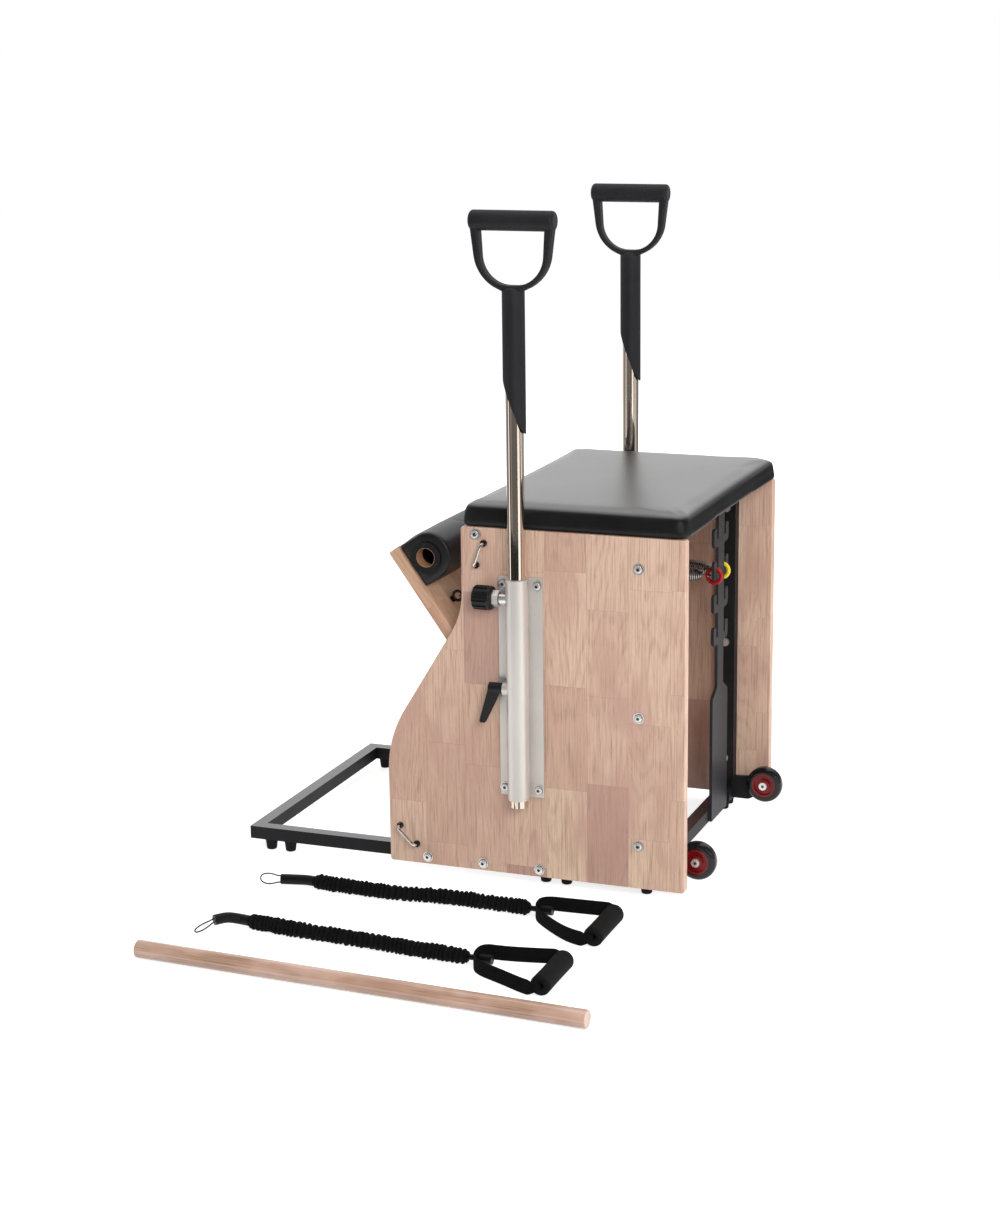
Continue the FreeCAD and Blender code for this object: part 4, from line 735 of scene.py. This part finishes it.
def spline_points(route: Sequence[Sequence[float]]) -> Array:
    """Points read from a smooth spline whose control points are the route's.

    Args:
        route: control points in millimetres.

    Returns:
        Points along the spline, in millimetres.
    """
    curve = bpy.data.curves.new("route", "CURVE")
    curve.dimensions = "3D"
    curve.resolution_u = SPLINE_STEPS
    spline = curve.splines.new("NURBS")
    spline.points.add(len(route) - 1)
    spline.points.foreach_set("co", np.c_[np.array(route, float), np.ones(len(route))].ravel())
    spline.order_u = 3
    spline.use_endpoint_u = True
    holder = linked("route", curve)
    bpy.context.view_layer.update()
    mesh = bpy.data.meshes.new_from_object(holder)
    found = np.empty(len(mesh.vertices) * 3)
    mesh.vertices.foreach_get("co", found)
    bpy.data.objects.remove(holder)
    bpy.data.curves.remove(curve)
    bpy.data.meshes.remove(mesh)
    return found.reshape(-1, 3)


def even(path: Array, count: int) -> tuple[Array, Array]:
    """The path's points again at even spacing, and how far along it each one lies."""
    steps = np.linalg.norm(np.diff(path, axis=0), axis=1)
    reach = np.concatenate([[0.0], np.cumsum(steps)])
    places = np.linspace(0, reach[-1], count)
    return np.stack([np.interp(places, reach, path[:, axis]) for axis in range(3)], -1), places


def coordinates(mesh: bpy.types.Mesh) -> Array:
    """All vertex places of a mesh, in metres."""
    found = np.empty(len(mesh.vertices) * 3, np.float32)
    mesh.vertices.foreach_get("co", found)
    return found.reshape(-1, 3).astype(float)


def settle(piece: Piece) -> None:
    """Puts the result of a piece's modifiers into its own mesh."""
    shown = piece.evaluated_get(bpy.context.evaluated_depsgraph_get())
    mesh = bpy.data.meshes.new_from_object(shown)
    piece.modifiers.clear()
    old, piece.data = piece.data, mesh
    bpy.data.meshes.remove(old)


def inflate(piece: Piece, voxel: float, pressure: float, cap: float, held: Callable[[Array], Array]) -> None:
    """Swells a padded piece with a short cloth simulation.

    The mesh is made even first. Each point then moves as far as the cloth takes it, up to the cap.

    Args:
        piece: the closed piece.
        voxel: size of the even mesh, in millimetres.
        pressure: air pressure inside.
        cap: longest move of a point, in millimetres.
        held: tells from the points, in millimetres, which of them stay where they are.
    """
    remesh = piece.modifiers.new("even", "REMESH")
    remesh.mode = "VOXEL"
    remesh.voxel_size = voxel * MM
    settle(piece)
    rest = coordinates(piece.data)
    fixed = piece.vertex_groups.new(name="held")
    fixed.add(np.flatnonzero(held(rest / MM)).tolist(), 1.0, "REPLACE")
    cloth = piece.modifiers.new("swell", "CLOTH")
    cloth.settings.use_pressure = True
    cloth.settings.uniform_pressure_force = pressure
    cloth.settings.vertex_group_mass = fixed.name
    cloth.settings.effector_weights.gravity = 0.0
    scene = bpy.context.scene
    for step in range(1, SWELL_FRAMES + 1):
        scene.frame_set(step)
    shown = piece.evaluated_get(bpy.context.evaluated_depsgraph_get())
    moved = coordinates(shown.data) - rest
    piece.modifiers.clear()
    piece.vertex_groups.clear()
    scene.frame_set(1)
    length = np.linalg.norm(moved, axis=1, keepdims=True)
    rest = rest + moved * np.minimum(1.0, cap * MM / np.maximum(length, 1e-9))
    piece.data.vertices.foreach_set("co", rest.astype(np.float32).ravel())
    piece.data.polygons.foreach_set("use_smooth", np.ones(len(piece.data.polygons), bool))
    smooth = piece.modifiers.new("smooth", "SMOOTH")
    smooth.factor = SMOOTH_SHARE
    smooth.iterations = SMOOTH_PASSES
    settle(piece)
    round_off = piece.modifiers.new("fine", "SUBSURF")
    round_off.levels = round_off.render_levels = 1


def raised(points: Array) -> Array:
    """Points of a level pedal, hinged at the origin, turned up about X and moved to the pedals' hinge."""
    turn = math.radians(-PEDAL_ANGLE)
    spin = np.array([[1, 0, 0], [0, math.cos(turn), -math.sin(turn)], [0, math.sin(turn), math.cos(turn)]])
    return points @ spin.T + HINGE


@dataclass
class Seat:
    """Crowned seat cushion, hollow below where the seat board sits."""

    half_x: float = 275.0
    half_y: float = 190.5
    middle_y: float = 186.5
    low: float = 597.0
    side: float = 26.0
    rounding: float = 11.0
    crown: float = 3.5
    draw_in: float = 2.5
    corner: float = 20.0
    rim: float = 12.5
    pocket: float = 12.6
    voxel: float = 5.0
    pressure: float = 3.0
    swell: float = 3.0
    held_over: float = 2.0

    def outline(self) -> Array:
        """Rounded rectangle whose sides bow inward: lines with a sine's bow, joined by quarter circles."""
        turn = np.linspace(0, np.pi / 2, 9)
        arc = self.corner * np.stack([np.cos(turn), np.sin(turn)], -1)
        inner_x, inner_y = self.half_x - self.corner, self.half_y - self.corner
        run = np.linspace(0, 1, 40)[1:-1]
        bow = self.draw_in * np.sin(np.pi * run)
        top = np.stack([inner_x * (1 - 2 * run), self.half_y - bow], -1)
        flank = np.stack([bow - self.half_x, inner_y * (1 - 2 * run)], -1)
        quarter = arc + (inner_x, inner_y)
        second = quarter[::-1] * (-1, 1)
        half = np.concatenate([quarter, top, second, flank])
        return np.concatenate([half, -half])

    def build(self) -> None:
        """Sections from the pocket's middle, round rim and side, over the rounded edge to the crown."""
        turn = np.linspace(0, np.pi / 2, 7)
        edge = np.stack([1 - self.rounding * (1 - np.cos(turn)) / self.half_y,
                         self.side + self.rounding * np.sin(turn)], -1)
        shrink = 1 - self.rim / self.half_y
        # Each row is a share of the outline and a height over the underside
        below = np.array([[0.0, self.pocket], [shrink * 0.5, self.pocket], [shrink, self.pocket],
                          [shrink, 0.0], [0.994, 0.0], [0.998, 3.0], [1.0, 9.0], [1.0, 17.0]])
        top = np.linspace(edge[-1, 0], 0, 9)[1:]
        over = np.stack([top, self.side + self.rounding + self.crown * (1 - top ** 2)], -1)
        rows = np.concatenate([below, edge, over])
        flat = self.outline()[None] * rows[:, None, :1]
        height = np.broadcast_to(self.low + rows[:, None, 1:], flat.shape[:2] + (1,))
        points = np.concatenate([flat + (0.0, self.middle_y), height], -1)
        piece = surface("seat_upholstery", points, Finishes.SEAT, (False, True))
        inflate(piece, self.voxel, self.pressure, self.swell,
                lambda places: places[:, 2] < self.low + self.pocket + self.held_over)
        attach(piece, "chair")
        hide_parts("seat_cushion")
        LOG.info("seat upholstery: %d faces", len(piece.data.polygons))


@dataclass
class Pedal:
    """Arched pad of one pedal, with the small screws of its bushes."""

    side: Side
    start: float = 7.0
    end: float = 247.0
    half_width: float = 41.0
    straight: float = 34.0
    bore_height: float = 31.0
    bore: float = 18.3
    rim: float = 5.0
    slack: float = 1.2
    gap: float = 0.4
    voxel: float = 3.5
    pressure: float = 3.0
    swell: float = 1.6
    held_over: float = 2.0
    held_round: float = 4.0
    screw_circle: float = 21.0
    screw_radius: float = 2.6
    screw_height: float = 1.1
    bush_length: float = 3.0

    def arch(self, turn: Array) -> Array:
        """Distance from the bore's axis to the arch, by direction: nearest of base, flank and crown."""
        width, rise = self.half_width - self.slack, self.straight - self.bore_height
        cos, sin = np.cos(turn), np.sin(turn)
        flank = width / np.maximum(np.abs(cos), 1e-6)
        base = np.where(sin < 0, (self.bore_height - self.gap) / np.maximum(-sin, 1e-6), 1e6)
        crown = rise * sin + np.sqrt(np.maximum(width ** 2 - (rise * cos) ** 2, 0.0))
        return np.where(flank * sin > rise, crown, np.minimum(flank, base))

    def build(self) -> None:
        """The pad's closed skin runs along its outside, in over each end, and back through the bore."""
        turn = np.linspace(0, 2 * np.pi, 96, endpoint=False)
        arch = self.arch(turn)
        bend = np.linspace(0, np.pi / 2, 6)
        rim = self.rim
        low, high = self.start + self.gap, self.end - self.gap
        run = np.linspace(low + rim, high - rim, 24)[1:-1]
        outer_x = np.concatenate([low + rim * (1 - np.cos(bend)), run, high - rim * (1 - np.cos(bend[::-1]))])
        shy = np.concatenate([rim * (1 - np.sin(bend)), np.zeros(len(run)), rim * (1 - np.sin(bend[::-1]))])
        radius = arch[None, :] - shy[:, None]
        share = np.linspace(0, 1, 6)[1:, None]
        cap = (arch[None, :] - rim) * (1 - share) + self.bore * share
        bore = np.full((8, len(turn)), self.bore)
        radii = np.concatenate([radius, cap, bore, cap[::-1]])
        ends = [np.full(len(cap), place) for place in (high, low)]
        places = np.concatenate([outer_x, ends[0], np.linspace(high, low, len(bore) + 2)[1:-1], ends[1]])
        points = np.stack([np.broadcast_to(places[:, None], radii.shape), BORE_AXIS[1] - radii * np.cos(turn),
                           BORE_AXIS[2] + radii * np.sin(turn)], -1)
        points = raised(points) * (self.side.sign, 1, 1)
        piece = surface("pedal_upholstery_" + self.side.value, points, Finishes.PAD, (True, True))
        axis = raised(BORE_AXIS)
        normal = np.array([math.sin(math.radians(PEDAL_ANGLE)), math.cos(math.radians(PEDAL_ANGLE))])

        def held(found: Array) -> Array:
            """Points on the board or round the bore."""
            flat = found[:, 1:] - axis[1:]
            round_bore = np.linalg.norm(flat, axis=1) < self.bore + self.held_round
            return (flat @ normal < self.held_over - self.bore_height) | round_bore

        inflate(piece, self.voxel, self.pressure, self.swell, held)
        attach(piece, "pedal_" + self.side.value)
        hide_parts("pedal_pad_" + self.side.value)
        self.screws()
        LOG.info("pedal upholstery %s: %d faces", self.side.value, len(piece.data.polygons))

    def screws(self) -> None:
        """Three domed screws on each bush: a quarter circle turned about X, set round the bore."""
        turn = np.linspace(0, 2 * np.pi, 13)
        rise = np.linspace(0, np.pi / 2, 5)
        radius, height = self.screw_radius * np.cos(rise)[:, None], self.screw_height * np.sin(rise)[:, None]
        dome = np.stack(np.broadcast_arrays(height, radius * np.cos(turn), radius * np.sin(turn)), -1)
        around = np.radians([30.0, 150.0, 270.0])
        ring = self.screw_circle * np.stack([np.zeros(3), np.cos(around), np.sin(around)], -1)
        inner, outer = self.start - self.bush_length, self.end + self.bush_length
        for name, place, way in (("inner", inner, -1), ("outer", outer, 1)):
            for index, centre in enumerate(ring + BORE_AXIS + (place, 0.0, 0.0)):
                points = raised(dome * (way, 1, 1) + centre) * (self.side.sign, 1, 1)
                piece = surface(f"bush_screw_{name}_{index + 1}_{self.side.value}", points, Finishes.PLASTIC)
                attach(piece, "pedal_" + self.side.value)


@dataclass
class PullSpring:
    """Close-wound pull spring between a pedal's eye and a ring on the rack."""

    side: Side
    colour: str
    eye: Place
    ring: Place
    eye_ring: float = 8.0
    rack_ring: float = 12.5
    hooks: tuple[float, float] = (4.05, 5.25)
    radius: float = 11.0
    wire: float = 1.5
    pitch: float = 3.3
    lead: float = 9.0
    turn_steps: int = 16
    ease_turns: int = 4
    hook_steps: int = 10
    wire_sides: int = 8

    def path(self) -> tuple[Array, Array]:
        """Middle line of the wire and the direction that its profile leans to.

        A half circle hooks round the eye, a helix whose radius eases from the hook's to the coil's and back
        runs along the axis, and a half circle hooks round the ring.

        Returns:
            The points and, for each, the direction away from the axis.
        """
        eye, ring = np.array(self.eye), np.array(self.ring)
        way = (ring - eye) * (0, 1, 1)
        way /= np.linalg.norm(way)
        start, end = eye + way * self.eye_ring, ring - way * self.rack_ring
        axis = (end - start) / np.linalg.norm(end - start)
        lateral = np.array([1.0, 0.0, 0.0]) - axis * axis[0]
        lateral /= np.linalg.norm(lateral)
        third = np.cross(axis, lateral)
        length = np.linalg.norm(end - start)
        turns = round((length - 2 * self.lead) / self.pitch)
        share = np.linspace(0, 1, turns * self.turn_steps + 1)
        first, last = self.hooks
        base = np.where(share < 0.5, first, last)
        ease = smoothstep(np.minimum(share, 1 - share) * turns / self.ease_turns)
        radius = base + (self.radius - base) * ease
        angle = 2 * np.pi * turns * share
        out = np.cos(angle)[:, None] * lateral + np.sin(angle)[:, None] * third
        along = self.lead + (length - 2 * self.lead) * share
        coil = start + along[:, None] * axis + radius[:, None] * out
        turn = np.linspace(np.pi, 0, self.hook_steps)
        bend = np.stack([np.cos(turn), np.sin(turn)], -1)
        eye_out = bend[:, :1] * lateral - bend[:, 1:] * axis
        ring_out = bend[::-1, :1] * lateral + bend[::-1, 1:] * axis
        points = np.concatenate([start + first * eye_out, coil, end + last * ring_out])
        return points, np.concatenate([eye_out, out, ring_out])

    def build(self) -> None:
        """The wire as a round profile carried along its middle line."""
        points, lean = self.path()
        mirror = np.array([self.side.sign, 1, 1])
        skin = sweep(points, lean, circle(self.wire, self.wire_sides)) * mirror
        name = f"coil_{self.colour}_{self.side.value}"
        piece = surface(name, skin, Finishes.SPRING, (False, True))
        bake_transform(piece)
        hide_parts(f"spring_{self.colour}_{self.side.value}")
        LOG.info("%s: %d faces", name, len(piece.data.polygons))


@dataclass
class Band:
    """One resistance band on the floor: gathered cord, webbing strap and foam grip."""

    name: str
    route: tuple[tuple[float, float], ...]
    strap_route: tuple[tuple[float, float], ...]
    seed: int
    diameter: float = 22.0
    hollow: float = 7.8
    crest: float = 13.6
    fold: float = 8.4
    neck: float = 15.45
    strap_width: float = 24.0
    strap_thickness: float = 2.4
    strap_pinch: float = 0.42
    foam_diameter: float = 32.0
    foam_bore: float = 5.0
    foam_corner: float = 3.0
    foam_waist: float = 0.5
    foam_sides: int = 48
    cord_step: float = 0.75
    cord_sides: int = 44
    cord_taper: float = 5.0
    floor_gap: float = 0.1
    fold_drift: float = 0.32
    fold_round: float = 0.6
    crease: float = 0.28
    strap_steps: int = 200
    strap_ease: tuple[float, float] = (6.0, 20.0)

    @property
    def body(self) -> str:
        """The CAD body that the band's pieces ride on."""
        return "band_" + self.name

    @property
    def places(self) -> Array:
        """Points of the strap's route on the floor, from one end of the foam grip round to the other."""
        return np.array(self.strap_route) + self.route[-1] + np.array([0.0, self.neck])

    @staticmethod
    def chart(across: Array, along: Array) -> Array:
        """Map of a carried profile, in metres: places across it and along it, with its closed ends."""
        return np.stack(np.meshgrid(across, np.concatenate([[0.0], along, along[-1:]])), -1) * MM

    def cord(self) -> Piece:
        """Gathered sleeve: a tube in rounded folds with sharp valleys between them.

        The radius runs from hollow to crest with the absolute sine of a phase. The phase gains half a turn
        over each fold, whose width drifts, and leans differently round the tube. What would pass the floor
        lies on it.

        Returns:
            The cord's object.
        """
        level = self.diameter / 2
        line = spline_points([(x, y, level) for x, y in self.route])
        length = np.linalg.norm(np.diff(line, axis=0), axis=1).sum()
        path, reach = even(line, int(length / self.cord_step))
        chance = np.random.default_rng(self.seed)
        turn = np.linspace(0, 2 * np.pi, self.cord_sides + 1)

        def drift(stretch: float) -> Array:
            """A smooth random course along the cord, about from minus one to one."""
            knots = chance.uniform(-1.0, 1.0, int(reach[-1] / stretch) + 3)
            return np.interp(reach, np.arange(len(knots)) * stretch, knots)[:, None]

        phase = np.cumsum(np.pi * reach[1] / (self.fold * (1 + self.fold_drift * drift(9.0))), axis=0)
        lean = 0.5 * np.sin(turn + 3.0 * drift(23.0)) + 0.3 * np.sin(2 * turn + 4.0 * drift(17.0))
        arch = np.abs(np.sin(phase + lean)) ** self.fold_round
        full = 0.86 + 0.14 * drift(5.0) + 0.12 * np.sin(3 * turn + 5.0 * drift(13.0))
        crease = self.crease * np.sin(7 * turn + 2.0 * phase + 3.0 * drift(11.0))
        rise = np.minimum(1.0, np.minimum(reach, reach[-1] - reach) / self.cord_taper)[:, None]
        radius = self.hollow + rise * ((self.crest - self.hollow) * arch * full + crease)
        skin = sweep(path, UP, circle(1.0, self.cord_sides))
        skin = np.concatenate([skin, skin[:, :1]], 1)
        skin[1:-1] = path[:, None, :] + radius[:, :, None] * (skin[1:-1] - path[:, None, :])
        skin[..., 2] = np.maximum(skin[..., 2], self.floor_gap)
        piece = surface("band_sleeve_" + self.name, skin, Finishes.BAND, uv=self.chart(turn * level, reach))
        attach(piece, self.body)
        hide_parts("band_cord_" + self.name)
        self.path, self.length = path, float(reach[-1])
        return piece

    def strap(self) -> Piece:
        """Webbing on edge: a flat profile with rounded edges, gathered where it enters the grip.

        Returns:
            The strap's object.
        """
        level = self.foam_diameter / 2
        path, places = even(spline_points([(x, y, level) for x, y in self.places]), self.strap_steps)
        turn = np.linspace(0, 2 * np.pi, 29)
        flat = np.sign(np.cos(turn)) * np.abs(np.cos(turn)) ** 0.35 * self.strap_thickness / 2
        tall = np.sign(np.sin(turn)) * np.abs(np.sin(turn)) ** 0.25 * self.strap_width / 2
        start, run = self.strap_ease
        ease = smoothstep((np.minimum(places, places[-1] - places) - start) / run)
        pinch = self.strap_pinch + (1 - self.strap_pinch) * ease
        skin = sweep(path, UP, np.stack([tall, flat], -1))
        skin[1:-1, :, 2] = level + (skin[1:-1, :, 2] - level) * pinch[:, None]
        chart = self.chart(tall + self.strap_width / 2, places)
        piece = surface("band_webbing_" + self.name, skin, Finishes.STRAP, uv=chart)
        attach(piece, self.body)
        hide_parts("band_strap_" + self.name)
        return piece

    def foam(self) -> Piece:
        """Foam tube: a ring section with soft corners, a touch slimmer at mid-length, turned about X.

        Returns:
            The grip's object.
        """
        ends = self.places[[0, -1]]
        x, y = ends.mean(0)
        half, radius, corner = abs(ends[0, 0] - ends[1, 0]) / 2, self.foam_diameter / 2, self.foam_corner
        bend = np.linspace(0, np.pi / 2, 6)
        run = np.linspace(-1, 1, 20)
        body_x = run * (half - corner)
        body_r = radius - self.foam_waist * (1 - run ** 2)
        right_x, right_r = half - corner + corner * np.sin(bend), radius - corner + corner * np.cos(bend)
        hole_x, hole_r = np.linspace(half, -half, 8), np.full(8, self.foam_bore)
        places = np.concatenate([body_x, right_x[1:], hole_x, -right_x[::-1][:-1]])
        radii = np.concatenate([body_r, right_r[1:], hole_r, right_r[::-1][:-1]])
        ring = radii[:, None, None] * circle(1.0, self.foam_sides)
        rows = np.broadcast_to(x + places[:, None, None], ring.shape[:2] + (1,))
        points = np.concatenate([rows, ring + (y, radius)], -1)
        piece = surface("band_foam_" + self.name, points, Finishes.FOAM, (True, True))
        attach(piece, self.body)
        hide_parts("band_grip_" + self.name)
        return piece

    def build(self) -> None:
        """All pieces of the band: the cord and what hangs on it."""
        cord = self.cord()
        self.strap()
        self.foam()
        LOG.info("band %s: cord of %.0f mm", self.name, self.length)


@dataclass
class Studio:
    """Pale floor, soft lamps, pale surroundings and the camera at the photograph's place."""

    azimuth: float = 111.04
    elevation: float = 13.83
    roll: float = -0.75
    place: Place = (3.81655, 1.42596, 1.39618)
    focal: float = 2429.4
    frame_height: float = 1222.0
    sensor: float = 36.0
    aim: Place = (0.1, 0.05, 0.5)
    ambient: float = 0.46
    floor_reach: float = 9000.0
    floor_drop: float = 0.4
    floor_tone: float = 0.62
    floor_glow: float = 0.74
    card_radius: float = 1900.0
    # Start and end of each card round the chair in degrees, its two heights, and its grey
    cards: tuple[tuple[float, ...], ...] = (
        (-125.0, -105.0, 0.0, 900.0, 0.60), (-105.0, -80.0, 0.0, 900.0, 0.36),
        (-80.0, -62.0, 0.0, 900.0, 0.12), (-46.0, 46.0, 0.0, 240.0, 0.03), (-46.0, -33.0, 240.0, 900.0, 0.04),
        (-33.0, -18.0, 240.0, 900.0, 0.28), (-18.0, 46.0, 240.0, 900.0, 0.16), (72.0, 88.0, 0.0, 900.0, 0.16),
        (102.0, 145.0, 0.0, 900.0, 0.40), (145.0, 175.0, 0.0, 700.0, 0.03),
        (-70.0, 115.0, 900.0, 3600.0, 0.03))
    # Name of each lamp, its place in metres, its size, its power, and whether reflections see it
    lamps: tuple[tuple[str, Place, float, float, bool], ...] = (
        ("key_softbox", (3.9, 2.7, 2.6), 2.0, 125.0, True),
        ("front_softbox", (2.4, -3.4, 2.4), 2.4, 30.0, True),
        ("far_softbox", (-3.8, -1.2, 2.2), 2.4, 95.0, False),
        ("top_softbox", (-0.4, 0.4, 4.2), 3.0, 26.0, True),
        ("rear_softbox", (0.1, 2.0, 0.6), 0.9, 15.0, False),
    )

    @staticmethod
    def stand(data: bpy.types.ID, place: Place, axes: Sequence[Array]) -> Piece:
        """Sets up a camera or a lamp at a place, with its right, its rise and the way opposite its look."""
        holder = linked(data.name, data)
        holder.matrix_world = Matrix.Translation(place) @ Matrix(np.stack(axes, -1).tolist()).to_4x4()
        return holder

    def camera(self) -> None:
        """Camera turned by azimuth, elevation and roll, with the photograph's focal length."""
        a, e, r = (math.radians(v) for v in (self.azimuth, self.elevation, self.roll))
        back = np.array([math.sin(a) * math.cos(e), -math.cos(a) * math.cos(e), math.sin(e)])
        right = np.array([math.cos(a), math.sin(a), 0.0])
        rise = np.cross(back, right)
        right, rise = right * math.cos(r) + rise * math.sin(r), rise * math.cos(r) - right * math.sin(r)
        data = bpy.data.cameras.new("photo_camera")
        data.sensor_fit = "VERTICAL"
        data.sensor_height = self.sensor
        data.lens = self.focal / self.frame_height * self.sensor
        bpy.context.scene.camera = self.stand(data, self.place, (right, rise, back))

    def lights(self) -> None:
        """Square softboxes, each turned to the chair's middle."""
        for name, place, size, power, mirrored in self.lamps:
            data = bpy.data.lights.new(name, "AREA")
            data.size = size
            data.energy = power
            back = np.subtract(place, self.aim)
            back /= np.linalg.norm(back)
            right = np.cross(UP, back)
            right /= np.linalg.norm(right)
            lamp = self.stand(data, place, (right, np.cross(back, right), back))
            lamp.visible_camera = False
            lamp.visible_glossy = mirrored

    @staticmethod
    def seen(graph: Graph) -> Socket:
        """One where a ray comes from the camera, a gloss or a clear piece."""
        path = graph.node("ShaderNodeLightPath").outputs
        first = graph.math("MAXIMUM", path["Is Camera Ray"], path["Is Glossy Ray"])
        return graph.math("MAXIMUM", first, path["Is Transmission Ray"])

    def floor(self) -> None:
        """White floor that takes the shadow and shows white itself."""
        reach = np.linspace(-self.floor_reach, self.floor_reach, 3)
        x, y = np.meshgrid(reach, reach)
        made, graph = fresh_material("studio floor")
        glow = graph.times(self.seen(graph), self.floor_glow)
        shader = graph.node("ShaderNodeBsdfPrincipled", {
            "Base Color": (self.floor_tone,) * 3, "Roughness": 0.9, "Specular IOR Level": 0.1,
            "Emission Color": WHITE, "Emission Strength": glow})
        graph.node("ShaderNodeOutputMaterial", {"Surface": shader.outputs[0]})
        mesh = bpy.data.meshes.new("studio_floor")
        corners = np.stack([x, y, np.full_like(x, -self.floor_drop)], -1).reshape(-1, 3) * MM
        first = np.array([0, 1, 3, 4])
        quads = np.stack([first, first + 1, first + 4, first + 3], -1)
        mesh.from_pydata(corners.tolist(), [], quads.tolist())
        mesh.materials.append(made)
        piece = linked("studio_floor", mesh)

    def stand_cards(self) -> None:
        """Grey cards round the chair that only reflections see: arcs of a cylinder between two heights."""
        for index, (start, end, low, high, tone) in enumerate(self.cards):
            turn = np.radians(np.linspace(start, end, 13))[:, None]
            arc = self.card_radius * np.cos(turn), self.card_radius * np.sin(turn)
            points = np.stack(np.broadcast_arrays(*arc, np.array([[low, high]])), -1)
            card = surface(f"studio_card_{index + 1}", points, CardTone(tone))
            for rays in ("camera", "diffuse", "shadow", "transmission", "volume_scatter"):
                setattr(card, "visible_" + rays, False)

    def surroundings(self) -> None:
        """White to the camera, in reflections and through clear pieces, and soft even light for the rest."""
        world = bpy.data.worlds.new("studio")
        world.use_nodes = True
        world.node_tree.nodes.clear()
        graph = Graph(world.node_tree)
        plain, white = (graph.node("ShaderNodeBackground", {"Color": WHITE, "Strength": strength}).outputs[0]
                        for strength in (self.ambient, 1.0))
        mix = graph.node("ShaderNodeMixShader", {0: self.seen(graph), 1: plain, 2: white})
        graph.node("ShaderNodeOutputWorld", {"Surface": mix.outputs[0]})
        bpy.context.scene.world = world

    def build(self) -> None:
        """Camera, floor, lamps, cards and surroundings."""
        self.camera()
        self.floor()
        self.lights()
        self.stand_cards()
        self.surroundings()
        bpy.context.scene.view_settings.view_transform = "Standard"


@dataclass
class Chair:
    """The whole set: the CAD pieces in their finishes, and the pieces made here."""

    springs: tuple[tuple[str, float, float], ...] = (("red", 104.0, 67.0), ("yellow", 150.0, 187.0))
    ring_y: float = 312.4
    ring_z: float = 454.2
    bands: tuple[Band, ...] = field(default_factory=lambda: (
        Band("upper", ((399, -222), (404, -163), (407, -108), (404, -57), (398, -6), (395, 44), (398, 97),
                       (400, 156)),
             ((98.5, 123.5), (111, 123.5), (110, 104), (94, 71), (42, 14), (18, 0), (-18, 0), (-20, 53),
              (-23, 104), (-24, 123.5), (-9.5, 123.5)), 11),
        Band("lower", ((596, -242), (604, -184), (608, -128), (610, -74), (614, -20), (619, 34), (622, 87),
                       (623, 139)),
             ((83, 129.5), (95, 129.5), (94, 111), (67, 61), (46, 16), (22, 0), (-19, 0), (-18, 36),
              (-29, 96), (-38, 129.5), (-25, 129.5)), 29)))

    @staticmethod
    def dress_nodes() -> None:
        """Gives each CAD piece that shows the finish of its name's beginning."""
        for node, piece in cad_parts.items():
            finish = next((f for f, starts in WEARERS if node.startswith(tuple(starts.split()))), None)
            if finish is None:
                continue
            piece.data.materials.clear()
            piece.data.materials.append(finish.material())
            LOG.info("%s: %s", node, finish.name)

    def build(self) -> None:
        """Finishes first, then the bands, the upholstery and the springs."""
        self.dress_nodes()
        for band in self.bands:
            band.build()
        eye = raised(SPRING_EYES)
        Seat().build()
        for side in Side:
            Pedal(side).build()
            for colour, ring_x, eye_x in self.springs:
                PullSpring(side, colour, (eye_x, eye[1], eye[2]), (ring_x, self.ring_y, self.ring_z)).build()


def main() -> None:
    """Builds the chair and its studio."""
    logging.basicConfig(level=logging.INFO, format="%(name)s: %(message)s")
    Studio().build()
    Chair().build()


if __name__ == "__main__":
    main()
